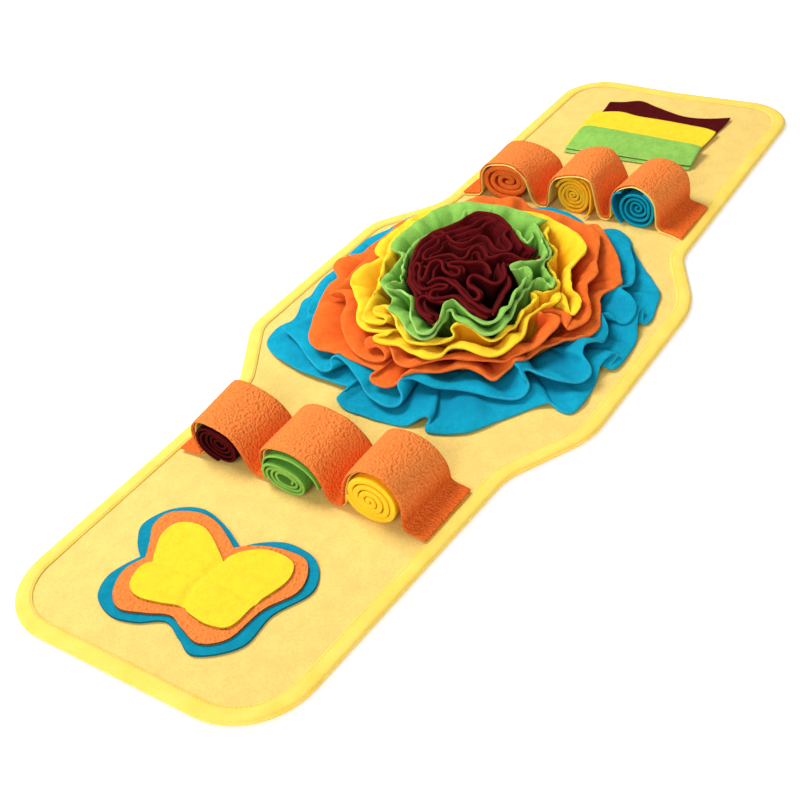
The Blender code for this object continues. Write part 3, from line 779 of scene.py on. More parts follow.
class SNUFFLE_OT_rolls(Operator):
    """Makes the six fabric rolls and the loose ends of three"""
    bl_idname = "snuffle.rolls"
    bl_label = "Rolls"

    def execute(self, context):
        for roll in ROLLS:
            self.wind(*roll)
        for end in ROLL_ENDS:
            self.tail(*end)
        return {"FINISHED"}

    def wind(self, name, node, shade, slot, middle, width, height, full, lean, tail, turns, pitch, fill,
             front, length, sink, sense, taper, shift):
        winding = turns_of(width, height, full, lean, tail, turns, pitch, pitch * fill / 2, sense)
        thick = pitch * fill * MM
        lowest = min(point.z for point in winding)
        seat = sizes().mat_top + sizes().seam_gap + thick / 2 - lowest
        count = round(turns * ROLL_STEPS) + 1
        line, stretched = curve(winding, count, steps=2)

        def place(column, row):
            inward = column / (count - 1)
            point = line[column]
            stagger = noise.noise(Vector((inward * turns * 2.3, middle, 0.0))) * ROLL_STAGGER
            start = front + sink * inward ** 1.5 + stagger
            reach = length - 2 * sink * inward ** 1.5
            share = ROLL_ROWS[row]
            small = 1.0 - taper * share
            return ((start + reach * share) * MM, (middle + shift * share) * MM + point.y * small,
                    seat + point.z * small + lowest * (1.0 - small))

        self.cloth(name, node, shade, slot, count - 1, place, thick, (length * MM, stretched))

    def tail(self, name, node, shade, slot, front, length, flare, points):
        line, stretched = curve([Vector((0.0, across * MM, up * MM + sizes().mat_top))
                                 for across, up in points], ROLL_END_STEPS + 1)

        def place(column, row):
            share, reach = column / ROLL_END_STEPS, ROLL_ROWS[row]
            along = (front - flare * share ** 2 * (1 - reach)) * MM
            return (along + length * MM * reach, line[column].y, line[column].z)

        self.cloth(name, node, shade, slot, ROLL_END_STEPS, place, sizes().fleece,
                   (length * MM, stretched))

    def cloth(self, name, node, shade, slot, columns, place, thick, flat):
        bm = bmesh.new()
        patch(bm, columns, len(ROLL_ROWS) - 1, place, shade_behind_front)
        made = sewn(bm, name, fleece(shade), slot, [node], thick, levels=1)


# ---- butterfly ----

# Stations round the outline.
# yellow x, y, orange x, y, blue x, y (mm), sharp notch or not
BUTTERFLY = (
    (-404, 49, -403, 58, -403, 64, True),
    (-395, 54, -388, 67, -391, 78, False),
    (-379, 62, -371, 78, -373, 88, False),
    (-364, 60, -354, 74, -350, 78, False),
    (-357, 46, -344, 52, -338, 55, False),
    (-360, 28, -348, 28, -345, 25, False),
    (-379, -2, -363, 1, -359, -2, True),
    (-366, -8, -354, -12, -347, -14, False),
    (-354, -26, -347, -34, -338, -36, False),
    (-356, -52, -349, -60, -344, -65, False),
    (-374, -60, -375, -73, -370, -81, False),
    (-402, -53, -404, -60, -403, -68, False),
    (-428, -50, -437, -55, -437, -67, False),
    (-435, -34, -451, -38, -460, -41, False),
    (-433, -14, -446, -18, -453, -20, False),
    (-430, -4, -440, -1, -445, 0, False),
    (-435, 14, -447, 18, -456, 20, False),
    (-438, 34, -453, 40, -460, 42, False),
    (-431, 48, -442, 56, -450, 65, False),
    (-415, 53, -421, 64, -428, 73, False),
)
# name, node, colour, its first column above, mesh size (m), brightness as a share of its fleece's
BUTTERFLY_LAYERS = (
    ("butterfly_blue_layer", "butterfly_blue", "blue", 4, 0.005, 0.75),
    ("butterfly_orange_layer", "butterfly_orange", "orange", 2, 0.005, 1.0),
    ("butterfly_yellow_layer", "butterfly_yellow", "yellow", 0, 0.0024, 1.0),
)
BUTTERFLY_THICK = 1.7 * MM
BUTTERFLY_RIPPLE = (0.012, 0.0003)      # size and depth (m)
# Seams sewn through the yellow layer: along the body, and across each pair of wings (mm)
BUTTERFLY_SEAMS = (((-404, 49), (-402, 20), (-398, -10), (-402, -53)),
                   ((-430, -4), (-412, 2), (-395, 2), (-379, -2)))
SEAM_DEPTH = 0.0016             # (m)
SEAM_HALF = 0.0028              # (m)
CUT_EDGE_SHADOW = 0.5                  # brightness of a flat layer's cut edge as a share of its cloth's: a painted shadow on its sides


class SNUFFLE_OT_butterfly(Operator):
    """Makes the three-layer butterfly"""
    bl_idname = "snuffle.butterfly"
    bl_label = "Butterfly"

    def execute(self, context):
        seams = [curve([Vector((x, y, 0.0)) * MM for x, y in seam], 24)[0] for seam in BUTTERFLY_SEAMS]
        for layer, (name, node, shade, first, cell, bright) in enumerate(BUTTERFLY_LAYERS):
            stations = [(*row[first:first + 2], row[6]) for row in BUTTERFLY]
            outline = notched_outline(stations, 8)
            under = sizes().mat_top + sizes().seam_gap + layer * (BUTTERFLY_THICK + sizes().seam_gap)
            bm = bmesh.new()
            rim = bm.verts.layers.float.new("rim")
            bm.faces.new([bm.verts.new((*point, under)) for point in outline])
            low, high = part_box(node)
            cut_cells(bm, low, high, cell)
            bmesh.ops.solidify(bm, geom=bm.faces[:], thickness=BUTTERFLY_THICK)
            for vert in bm.verts:
                if vert.co.z > under + BUTTERFLY_THICK / 2:
                    flat = Vector((vert.co.x, vert.co.y, 0.0))
                    vert.co.z = under + BUTTERFLY_THICK + ripple(flat, *BUTTERFLY_RIPPLE).z
                    if shade == "yellow":
                        near = min((flat - point).length for seam in seams for point in seam)
                        vert.co.z -= SEAM_DEPTH * math.exp(-(near / SEAM_HALF) ** 2)
            bm.normal_update()
            # the rim attribute marks the cut sides, which are painted with shadow
            for vert in bm.verts:
                vert[rim] = float(any(abs(face.normal.z) < 0.5 for face in vert.link_faces))
            if shade == "orange":
                stuff = pebbled("pebble", arched=False)
            else:
                stuff = fleece(shade, nap=1.2, folded=False, share=bright, edge=CUT_EDGE_SHADOW)
            cut = sewn(bm, name, stuff, shade, [node])
            cut.data.set_sharp_from_angle(angle=math.radians(50))
        return {"FINISHED"}


def notched_outline(stations, steps):
    """A closed curve through stations (x, y, sharp); a sharp one keeps its notch."""
    outline = []
    count = len(stations)
    for index in range(count):
        near = [stations[(index + shift) % count] for shift in (-1, 0, 1, 2)]
        p0, p1, p2, p3 = (Vector(station[:2]) for station in near)
        start = Vector((0, 0)) if near[1][2] else (p2 - p0) / 2
        end = Vector((0, 0)) if near[2][2] else (p3 - p1) / 2
        outline += [between_points(p1, p2, start, end, step / steps) * MM for step in range(steps)]
    return outline


# ---- flaps ----

# Stations of each flap's far edge, from its right corner to its left.
# y, x, height above the flap (mm)
MAROON_FAR_EDGE = (
    (-77, 449, 2), (-52, 442, 0), (-26, 438, 0), (13, 447, 2), (38, 456, 2), (56, 449, 1), (71, 440, 3),
)
YELLOW_FAR_EDGE = (
    (-77, 406, 2), (-62, 412, 1), (-44, 415, 0), (-5, 415, 1), (24, 417, 0), (47, 419, 1), (77, 407, 1),
)
GREEN_FOLD_EDGE = (
    (-78, 359, 0), (-68, 359.5, 1), (-58, 360, 1), (-39, 362, 0), (-20, 363, 0), (3, 363.5, 0),
    (28, 364.5, 0), (47, 364.5, 0), (61, 361.5, 1), (67, 358.5, 0),
)
# name, node, colour, far edge, near x, underside above the mat (mm)
FLAPS = (
    ("maroon_flap", "flap_maroon", "maroon", MAROON_FAR_EDGE, 332, 0.3),
    ("yellow_flap", "flap_yellow", "yellow", YELLOW_FAR_EDGE, 328, 2.8),
)
# The green flap is folded in two, with its leaves' near edges sewn down (mm).
GREEN_NEAR = (316, 320)         # near x of its lower and of its upper leaf
GREEN_SLANT = 0.06              # how much nearer its left side lies, mm per mm across
GREEN_UNDER = 5.6               # its underside above the mat
GREEN_HANG = 30                 # how far from its near edge it hangs down to the mat
GREEN_HALF = 78                 # half its width
GREEN_FOLD = 0.04               # how far its fold stands out, as a share of its length
GREEN_LOOSE = 0.5               # half the space between its leaves
FLAP_REST = 0.3                 # height of a resting edge above the mat
FLAP_SPREAD = 5                 # how much further out each side of a flap lies at its far edge
FLAP_EDGE_WAVER = 0.8
FLAP_WAVE = 0.3
FLAP_COLUMNS = 30
FLAP_ROWS = 52


class SNUFFLE_OT_flaps(Operator):
    """Makes the three overlapping flaps"""
    bl_idname = "snuffle.flaps"
    bl_label = "Flaps"

    def execute(self, context):
        for flap in FLAPS:
            self.flap(*flap)
        self.green_flap()
        return {"FINISHED"}

    def flap(self, name, node, shade, edge, near, under):
        far, length = curve([Vector((x, y, lift)) for y, x, lift in edge], FLAP_ROWS + 1)

        def place(column, row):
            along, across = column / FLAP_COLUMNS, far[row]
            x = near + (across.x - near) * along
            inward = FLAP_SPREAD * (1 - along) * (2 * row / FLAP_ROWS - 1)
            y = across.y - inward + FLAP_EDGE_WAVER * noise.noise(Vector((x * 0.05, row * 0.2, 5.0)))
            wave = FLAP_WAVE * noise.noise(Vector((x * 0.03, y * 0.03, near)))
            z = under * along ** 0.5 + across.z * along ** 6 + wave * along
            return (x * MM, y * MM, sizes().mat_top + sizes().fleece / 2 + z * MM)

        bm = bmesh.new()
        patch(bm, FLAP_COLUMNS, FLAP_ROWS, place,
              lambda column, row: cut_rim(FLAP_COLUMNS - column, row, FLAP_ROWS - row))
        made = sewn(bm, name, fleece(shade, folded=False), shade, [node], sizes().fleece, levels=1)
        length * MM

    def green_flap(self):
        lower, upper = GREEN_NEAR
        turn = sizes().fleece / 2 / MM + GREEN_LOOSE
        fold, width = curve([Vector((x, y, lift)) for y, x, lift in GREEN_FOLD_EDGE], FLAP_ROWS + 1)
        # the folded section, x as a share of the way to the fold, from its lower near edge round
        section = [Vector((share, 0.0, 0.0)) for share in (0.0, 0.5, 0.8, 0.95)]
        section += [Vector((1 + GREEN_FOLD * math.cos(math.radians(deg)), 0.0,
                            turn + turn * math.sin(math.radians(deg)))) for deg in (-80, -40, 0, 40, 80)]
        section += [Vector((share, 0.0, 2 * turn)) for share in (0.95, 0.8, 0.5, 0.0)]
        line = section[:1]
        for before, after in zip(section, section[1:]):
            line += [before.lerp(after, step / 4) for step in range(1, 5)]

        def place(column, row):
            share, lift = line[column].x, line[column].z
            near = lower + (upper - lower) * under_of(lift, turn) - GREEN_SLANT * fold[row].y
            x = near + (fold[row].x - near) * share
            y = fold[row].y + 0.5 * noise.noise(Vector((x * 0.06, row * 0.2, lift)))
            y -= 3 * (1 - share) * max(0.0, -y / 80) ** 3
            puff = 0.9 * noise.noise(Vector((x * 0.035, y * 0.035, 2.0))) + 0.3
            corner = max(0.0, abs(y) / GREEN_HALF - 0.86) * 16 * (1 - share)
            height = under_of(lift, turn) * (puff * 0.5 + corner * 0.3) + fold[row].z * share ** 6
            # its near part hangs down from the yellow flap's edge to the mat
            resting = FLAP_REST + (GREEN_UNDER - FLAP_REST) * min(1.0, max(0.0, x - near) / GREEN_HANG) ** 1.3
            up = sizes().mat_top / MM + sizes().fleece / 2 / MM + resting + lift + height
            return x * MM, y * MM, up * MM

        bm = bmesh.new()
        patch(bm, len(line) - 1, FLAP_ROWS, place,
              lambda column, row: cut_rim(column, len(line) - 1 - column, row, FLAP_ROWS - row))
        made = sewn(bm, "green_flap", fleece("green", folded=False), "green", ["flap_green"],
                    sizes().fleece, levels=1)
        width * MM


def under_of(lift, turn):
    """0 on a folded flap's lower leaf, 1 on its upper one."""
    return min(1.0, lift / (2 * turn))


# ---- flower ----

FLOWER = Vector((5.0, 0.0, 0.0))        # its middle (mm)
# The bends of each ruffle's free edge, from its back right side over the left, front and right.
# angle (deg), distance from the middle, height above the floor (mm)
BLUE_LOWER_EDGE = (
    (6, 189, 7), (14, 183, 7), (22, 176, 10), (30, 181, 7), (40, 178, 9), (51, 191, 7),
    (63, 176, 8), (80, 166, 8), (98, 167, 8), (109, 167, 8), (113, 173, 8), (122, 178, 7),
    (126, 195, 6), (133, 203, 6), (142, 195, 8), (154, 180, 9), (164, 169, 10), (169, 170, 11),
    (168, 183, 9), (172, 188, 7), (184, 188, 6), (192, 188, 6), (195, 182, 11), (197, 179, 12),
    (198, 184, 9), (197, 189, 7), (199, 193, 6), (207, 193, 6), (217, 179, 6), (228, 171, 6),
    (232, 174, 9), (233, 183, 7), (235, 192, 6), (240, 186, 6), (245, 176, 6), (250, 166, 8),
    (254, 160, 12), (260, 159, 14), (262, 162, 12), (258, 164, 9), (255, 166, 7), (257, 169, 6),
    (265, 166, 6), (273, 163, 6), (279, 157, 10), (285, 155, 13), (288, 158, 12), (284, 160, 9),
    (281, 162, 7), (284, 166, 6), (291, 169, 6), (300, 173, 6), (315, 168, 6), (325, 172, 6),
    (335, 184, 6), (340, 183, 8), (344, 171, 8), (350, 174, 7), (358, 184, 7),
)
BLUE_UPPER_EDGE = (
    (1, 177, 13), (12, 168, 12), (20, 160, 18), (27, 164, 20), (33, 172, 14), (42, 174, 13),
    (50, 163, 16), (57, 155, 21), (64, 160, 19), (71, 168, 14), (80, 165, 13), (88, 156, 17),
    (95, 153, 18), (102, 160, 15), (113, 160, 14), (120, 163, 14), (125, 162, 15), (127, 171, 14),
    (129, 185, 14), (134, 180, 15), (140, 175, 15), (150, 174, 15), (158, 173, 16), (160, 167, 19),
    (157, 163, 22), (157, 157, 25), (162, 156, 23), (170, 161, 19), (177, 170, 15), (184, 177, 14),
    (188, 172, 15), (188, 165, 18), (185, 156, 23), (187, 147, 24), (196, 145, 17), (207, 144, 13),
    (218, 157, 12), (225, 161, 13), (228, 156, 19), (226, 147, 24), (229, 140, 25), (233, 148, 22),
    (237, 160, 17), (243, 170, 15), (247, 168, 17), (249, 160, 20), (250, 148, 23), (254, 141, 25),
    (259, 145, 23), (262, 146, 17), (269, 140, 18), (273, 133, 20), (277, 127, 21), (279, 132, 18),
    (276, 141, 15), (277, 149, 13), (282, 153, 13), (288, 151, 16), (292, 145, 20), (295, 137, 22),
    (299, 144, 17), (305, 152, 14), (322, 164, 14), (330, 172, 13), (340, 166, 13), (351, 167, 13),
)
ORANGE_LOWER_EDGE = (
    (3, 156, 22), (8, 149, 29), (13, 158, 34), (20, 152, 35), (28, 160, 34), (36, 161, 27), (47, 163, 22),
    (58, 161, 22), (70, 147, 22), (81, 141, 24), (88, 135, 28), (92, 141, 31), (97, 147, 32),
    (102, 147, 30), (107, 138, 27), (110, 143, 25), (120, 149, 24), (133, 156, 24), (145, 167, 24),
    (151, 163, 24), (156, 155, 24), (165, 150, 24), (173, 147, 23), (176, 151, 25), (175, 157, 25),
    (177, 162, 22), (182, 161, 21), (185, 150, 22), (190, 137, 24), (198, 133, 25), (207, 127, 25),
    (212, 131, 22), (217, 141, 20), (221, 135, 22), (229, 129, 24), (243, 121, 25), (252, 125, 24),
    (259, 134, 22), (267, 134, 22), (276, 125, 22), (288, 120, 23), (293, 127, 23), (297, 137, 21),
    (306, 139, 22), (318, 144, 22), (330, 151, 22), (341, 161, 22), (346, 153, 20), (354, 149, 22),
)
ORANGE_UPPER_EDGE = (
    (2, 150, 28), (12, 140, 32), (19, 136, 34), (27, 144, 30), (38, 148, 28), (50, 138, 32),
    (60, 141, 30), (76, 132, 28), (88, 123, 31), (104, 121, 34), (113, 124, 34), (118, 135, 32),
    (123, 138, 34), (123, 131, 37), (127, 123, 37), (132, 122, 35), (140, 131, 31), (151, 138, 30),
    (163, 145, 29), (171, 143, 28), (175, 137, 29), (172, 131, 33), (168, 132, 34), (167, 137, 33),
    (164, 135, 35), (162, 128, 36), (167, 122, 35), (175, 127, 33), (181, 137, 30), (186, 138, 29),
    (191, 129, 30), (198, 122, 31), (210, 123, 30), (223, 126, 28), (233, 124, 30), (243, 119, 33),
    (251, 115, 35), (256, 108, 38), (255, 100, 38), (252, 95, 38), (254, 89, 37), (260, 91, 36),
    (262, 103, 34), (262, 112, 33), (257, 117, 33), (253, 121, 31), (258, 125, 31), (265, 126, 31),
    (278, 113, 32), (289, 107, 35), (298, 116, 34), (312, 119, 31), (325, 134, 30), (335, 146, 28),
    (346, 147, 28),
)
YELLOW_LOWER_EDGE = (
    (8, 118, 42), (15, 111, 46), (24, 118, 43), (33, 128, 39), (44, 134, 38), (54, 140, 38),
    (62, 132, 38), (72, 125, 38), (85, 119, 38), (91, 112, 39), (93, 103, 39), (100, 103, 40),
    (107, 112, 40), (117, 118, 40), (128, 114, 39), (139, 113, 38), (150, 123, 38), (159, 124, 38),
    (164, 119, 39), (168, 115, 41), (171, 118, 41), (168, 123, 40), (165, 126, 39), (167, 129, 38),
    (171, 127, 37), (177, 122, 37), (184, 125, 36), (192, 131, 36), (197, 126, 36), (201, 117, 39),
    (206, 117, 39), (211, 123, 38), (218, 128, 36), (225, 123, 37), (232, 115, 38), (237, 105, 39),
    (243, 94, 40), (251, 89, 41), (259, 93, 42), (266, 95, 43), (271, 90, 43), (270, 97, 40),
    (264, 106, 38), (261, 115, 36), (267, 114, 36), (274, 106, 38), (279, 96, 41), (289, 92, 41),
    (300, 92, 40), (309, 102, 40), (318, 113, 40), (335, 117, 40), (347, 119, 40), (358, 123, 40),
)
YELLOW_UPPER_EDGE = (
    (0, 111, 45), (9, 104, 47), (18, 97, 49), (27, 104, 47), (38, 112, 45), (48, 108, 46),
    (60, 116, 44), (74, 109, 44), (86, 101, 44), (99, 91, 45), (112, 88, 45), (126, 90, 45),
    (138, 96, 45), (147, 109, 45), (154, 120, 44), (160, 119, 44), (164, 112, 44), (163, 107, 46),
    (158, 109, 47), (153, 108, 47), (151, 102, 47), (156, 97, 46), (164, 99, 44), (173, 109, 43),
    (181, 118, 42), (190, 120, 43), (197, 116, 44), (202, 107, 45), (200, 99, 47), (204, 92, 47),
    (210, 98, 45), (218, 112, 42), (224, 110, 42), (231, 102, 43), (239, 92, 44), (247, 84, 45),
    (254, 84, 47), (258, 79, 47), (260, 71, 46), (263, 74, 45), (265, 81, 44), (271, 85, 44),
    (280, 82, 45), (288, 76, 46), (296, 71, 48), (307, 75, 47), (319, 82, 46), (327, 80, 47),
    (334, 85, 48), (340, 96, 47), (348, 105, 46),
)
GREEN_LOWER_EDGE = (
    (1, 105, 50), (12, 110, 50), (24, 115, 50), (34, 121, 50), (42, 123, 49), (53, 114, 50),
    (67, 103, 50), (86, 95, 50), (93, 90, 51), (95, 79, 50), (101, 72, 50), (110, 74, 49),
    (121, 80, 49), (131, 87, 50), (141, 87, 49), (151, 86, 49), (156, 91, 50), (158, 98, 49),
    (164, 97, 47), (172, 102, 46), (180, 112, 46), (188, 118, 47), (193, 115, 49), (194, 102, 51),
    (195, 85, 55), (198, 82, 55), (201, 91, 52), (208, 97, 50), (216, 110, 47), (223, 109, 48),
    (229, 100, 49), (237, 86, 50), (246, 74, 50), (256, 69, 51), (267, 68, 53), (271, 73, 53),
    (269, 80, 51), (268, 86, 49), (274, 83, 50), (283, 72, 51), (291, 67, 53), (304, 74, 53),
    (318, 75, 53), (330, 77, 53), (342, 85, 53), (349, 93, 52), (346, 99, 52), (345, 103, 50),
    (351, 102, 50),
)
GREEN_UPPER_EDGE = (
    (13, 84, 54), (24, 89, 57), (35, 90, 58), (38, 83, 55), (44, 76, 53), (65, 70, 54),
    (87, 67, 57), (102, 64, 57), (118, 65, 56), (133, 67, 55), (143, 71, 54), (141, 78, 56),
    (142, 86, 56), (148, 86, 55), (152, 78, 55), (160, 77, 56), (169, 83, 56), (172, 90, 53),
    (179, 102, 51), (187, 117, 53), (192, 117, 54), (194, 108, 56), (193, 92, 58), (193, 80, 60),
    (197, 74, 61), (202, 80, 59), (209, 91, 55), (217, 103, 54), (224, 100, 54), (231, 90, 55),
    (239, 78, 56), (249, 69, 57), (261, 65, 58), (269, 64, 59), (274, 57, 60), (270, 51, 59),
    (265, 46, 58), (270, 40, 59), (279, 43, 60), (286, 53, 58), (293, 66, 57), (303, 71, 56),
    (319, 69, 58), (331, 72, 60), (333, 67, 60), (325, 63, 58), (321, 57, 57), (331, 57, 57),
    (341, 62, 55), (358, 72, 53),
)
# name, node, colour, edge, root radius (mm), how it spreads: over 1 it rises first
RUFFLES = (
    ("blue_ruffle_lower", "ruffle_blue_lower", "blue", BLUE_LOWER_EDGE, 110, 1.4),
    ("blue_ruffle_upper", "ruffle_blue_upper", "blue", BLUE_UPPER_EDGE, 104, 1.4),
    ("orange_ruffle_lower", "ruffle_orange_lower", "orange", ORANGE_LOWER_EDGE, 94, 1.4),
    ("orange_ruffle_upper", "ruffle_orange_upper", "orange", ORANGE_UPPER_EDGE, 91, 1.4),
    ("yellow_ruffle_lower", "ruffle_yellow_lower", "yellow", YELLOW_LOWER_EDGE, 80, 1.3),
    ("yellow_ruffle_upper", "ruffle_yellow_upper", "yellow", YELLOW_UPPER_EDGE, 77, 1.2),
    ("green_ruffle_lower", "ruffle_green_lower", "green", GREEN_LOWER_EDGE, 63, 1.5),
    ("green_ruffle_upper", "ruffle_green_upper", "green", GREEN_UPPER_EDGE, 60, 0.8),
)
RUFFLE_STEPS = 335
# rows of a ruffle from its root, as shares of the way to its rim; the last stand close
RUFFLE_ROWS = (0.0, 0.15, 0.3, 0.44, 0.57, 0.69, 0.79, 0.88, 0.94, 0.98, 1.0)
FOLD_SPREAD = 34                # how far along the edge its folds are evened out (mm)
ROOT_SPREAD = 75                # and how far for the line where it is sewn on (mm)
RUFFLE_FOOT = 1.3 * MM          # height of a ruffle's root above the mat
FOLDING = 0.95                  # over 1 its folds open late
RUFFLE_THICK = 2.4 * MM
RUFFLE_RIPPLE = (0.011, 0.0005)         # size and depth at the rim (m)
RUFFLE_EASE = 1.06              # a ruffle's cut depth as a share of that from its seam to its evened rim
RUFFLE_REST = 2.6 * MM          # from the middle of one sheet to that of the sheet lying on it
RUFFLE_LIFT = 9.0 * MM          # a sheet is never lifted further than this by the one below
CREASE_PITCH = 10.0             # the soft creases that run from a ruffle's root to its rim (mm)
CREASE_DEPTH = 6.5              # (mm)
CREASE_RING = 100.0             # root radius at which pitch and depth hold (mm)
CREASE_CHANGE = 1.2             # how much the creases change on their way to the rim
CREASE_ROOT = 0.3               # share of the way at which they are full
CREASE_RIM = 0.12               # share of the way over which they fade, and what is left of them


def around_flower(degrees, radius, height):
    angle = math.radians(degrees)
    return Vector((FLOWER.x + radius * math.cos(angle), FLOWER.y + radius * math.sin(angle), height)) * MM


class SNUFFLE_OT_ruffles(Operator):
    """Makes the flower's four colours of ruffles, each sewn on in two sheets"""
    bl_idname = "snuffle.ruffles"
    bl_label = "Ruffles"

    def execute(self, context):
        below = []
        for ruffle in RUFFLES:
            below.append(self.gather(below[-2:], *ruffle))
        return {"FINISHED"}

    def lay(self, bm, below):
        """Lifts the points of a sheet that would lie in the sheets below it onto them."""
        for point in bm.verts:
            for tree in below:
                met = tree.ray_cast(Vector((point.co.x, point.co.y, 1.0)), Vector((0.0, 0.0, -1.0)))[0]
                if met and 0.0 < met.z + RUFFLE_REST - point.co.z < RUFFLE_LIFT:
                    point.co.z = met.z + RUFFLE_REST

    def gather(self, below, name, node, shade, edge, root, rise):
        rim, length = curve([around_flower(*bend_row) for bend_row in edge], RUFFLE_STEPS, closed=True)
        step = length / RUFFLE_STEPS / MM
        course = smoothed(rim, FOLD_SPREAD / step)
        seam = smoothed(rim, ROOT_SPREAD / step)
        middle = FLOWER * MM
        foot_height = sizes().mat_top + RUFFLE_FOOT
        feet = []
        for point in seam:
            outward = (point - middle).to_2d().normalized()
            feet.append(Vector((middle.x + outward.x * root * MM, middle.y + outward.y * root * MM,
                                foot_height)))

        def place(column, row):
            share = RUFFLE_ROWS[row]
            foot, base, end = feet[column], course[column], rim[column]
            point = foot + (base - foot) * share ** rise + (end - base) * share ** FOLDING
            point.z = foot.z + (end.z - foot.z) * math.sin(math.pi / 2 * share) ** 1.1
            # neighbouring sheets crease together, and the creases fade out at root and rim
            at = (foot - middle).normalized() * (CREASE_RING / CREASE_PITCH)
            at.z = share * CREASE_CHANGE
            fade = min(1.0, share / CREASE_ROOT, CREASE_RIM + (1.0 - share) / CREASE_RIM)
            fade *= root / CREASE_RING
            crease = noise.noise_vector(at) * CREASE_DEPTH * MM * fade
            size, depth = RUFFLE_RIPPLE
            point += crease + ripple(point + Vector((0, 0, root)), size, depth * share)
            point.z = max(point.z, sizes().mat_top + RUFFLE_THICK / 2)
            return point

        bm = bmesh.new()
        ring(bm, RUFFLE_STEPS, len(RUFFLE_ROWS) - 1, place)
        self.lay(bm, below)
        sheet = BVHTree.FromBMesh(bm)
        # folded fleece: painted shade deepening from the rim towards the root
        made = sewn(bm, name, fleece(shade), shade, [node], RUFFLE_THICK, levels=1)
        # the depth of a curved strip as long at its root as the seam and at its rim as the folded edge,
        # worked out and not used
        depth = sum((end - foot).length for end, foot in zip(course, feet)) / RUFFLE_STEPS * RUFFLE_EASE
        depth * (length + math.tau * root * MM) / 2
        return sheet


# ---- rosette ----

# The bends of the rosette's free edge, strip by strip.
# x and y from the flower's middle, height above the floor (mm)
ROSETTE_STRIPS = (
    ((-74, -61, 55), (-76, -57, 56), (-75, -49, 57), (-72, -39, 57), (-66, -28, 58), (-63, -19, 59),
     (-64, -13, 59), (-70, -8, 59), (-73, -4, 59), (-71, 2, 59), (-64, 4, 60), (-60, 1, 60),
     (-56, -4, 60), (-49, -3, 59), (-48, 2, 58), (-50, 7, 58), (-57, 10, 58), (-61, 16, 57),
     (-60, 23, 57), (-53, 31, 57), (-42, 40, 57), (-33, 45, 58), (-27, 45, 59), (-30, 39, 60),
     (-40, 35, 59), (-48, 29, 59), (-52, 22, 60), (-44, 24, 61), (-33, 28, 62), (-25, 29, 63),
     (-20, 25, 63), (-23, 19, 62), (-31, 12, 62), (-34, 5, 61), (-34, -1, 60), (-29, -4, 61),
     (-24, -1, 62), (-24, 4, 63), (-26, 9, 63), (-22, 13, 63), (-18, 11, 63), (-15, 5, 63),
     (-11, -5, 62), (-7, -16, 62), (-10, -23, 61), (-19, -32, 60)),
    ((-70, -63, 55), (-65, -62, 56), (-69, -58, 57), (-67, -48, 57), (-63, -37, 58), (-56, -25, 59),
     (-49, -12, 60), (-43, 0, 60), (-43, 9, 60), (-49, 15, 60), (-55, 16, 60)),
    ((4, -33, 60), (-8, -40, 60), (-17, -45, 59), (-26, -45, 59), (-31, -42, 59), (-30, -34, 60),
     (-27, -25, 61), (-30, -18, 62), (-37, -18, 62), (-44, -23, 61), (-46, -31, 60), (-53, -40, 60),
     (-59, -42, 59), (-57, -35, 58)),
    ((38, -52, 52), (28, -53, 54), (24, -48, 55), (20, -39, 57), (21, -29, 59), (17, -24, 60),
     (8, -21, 60), (6, -15, 61), (14, -7, 61), (18, 1, 62), (16, 6, 62), (8, 7, 61), (-2, 5, 61),
     (-8, 8, 61), (-5, 20, 61), (-9, 29, 61), (-16, 36, 60), (-20, 41, 60), (-12, 47, 60),
     (-4, 47, 60), (4, 44, 60), (13, 45, 60), (19, 51, 60), (20, 58, 59), (26, 58, 59),
     (29, 55, 60), (28, 48, 60), (22, 39, 60), (18, 29, 60), (19, 21, 60), (24, 16, 61),
     (32, 14, 61), (36, 9, 61), (34, 1, 61), (27, -7, 60), (22, -15, 59), (23, -22, 59),
     (30, -25, 59), (37, -22, 60), (40, -15, 61), (44, -10, 62), (51, -8, 62), (56, -11, 61),
     (53, -16, 60), (47, -23, 58), (39, -33, 56)),
    ((44, -30, 52), (52, -20, 54), (58, -11, 56), (64, -3, 57), (67, 5, 58), (68, 13, 59),
     (61, 18, 60), (50, 19, 60), (42, 27, 59), (35, 34, 58), (33, 41, 57), (37, 48, 56),
     (43, 44, 57), (49, 36, 58), (55, 30, 58), (66, 33, 57)),
    ((-93, -14, 54), (-91, -2, 54), (-83, 9, 55), (-73, 13, 56), (-69, 9, 56), (-72, 0, 56),
     (-72, -10, 56), (-67, -20, 56), (-68, -32, 55), (-73, -44, 54), (-75, -54, 53)),
    ((-96, -17, 52), (-95, -9, 53), (-87, 6, 54), (-69, 20, 55), (-53, 37, 56), (-32, 49, 56),
     (-11, 58, 57), (6, 62, 59), (24, 60, 60), (37, 52, 61), (47, 44, 62), (65, 41, 62), (72, 36, 62),
     (76, 27, 62), (74, 12, 61), (66, -3, 59), (57, -14, 57), (48, -27, 55), (41, -46, 54)),
    ((-66, -62, 55), (-54, -60, 56), (-40, -57, 57), (-28, -55, 57), (-16, -50, 57), (-5, -38, 57),
     (2, -35, 57), (9, -39, 56), (16, -49, 54), (25, -55, 52), (33, -55, 50)),
    ((-70, 12, 57), (-62, 26, 58), (-48, 38, 58), (-35, 47, 58), (-18, 50, 59), (-6, 54, 60),
     (10, 52, 61), (22, 46, 61), (34, 42, 61), (46, 30, 61), (60, 28, 61), (70, 24, 60), (68, 10, 60)),
)
ROSETTE_ROWS = (0.0, 0.25, 0.5, 0.7, 0.84, 0.93, 0.975, 1.0)
ROSETTE_STEP = 3.2 * MM
ROSETTE_THICK = 3.2 * MM
ROSETTE_RIPPLE = (0.010, 0.0014)        # size and depth at the rim (m)
ROSETTE_FOOT = 0.52             # its spread at the mat as a share of that at its top
ROSETTE_CROWN = 1.7             # over 1 it widens late
# Each strip is sewn in two layers: how far each lies inside the first (mm), how far round it is
# turned (deg) and how much lower it stands (mm)
ROSETTE_LAYERS = ((0.0, 0.0, 0.0), (6.5, 2.0, 3.5))


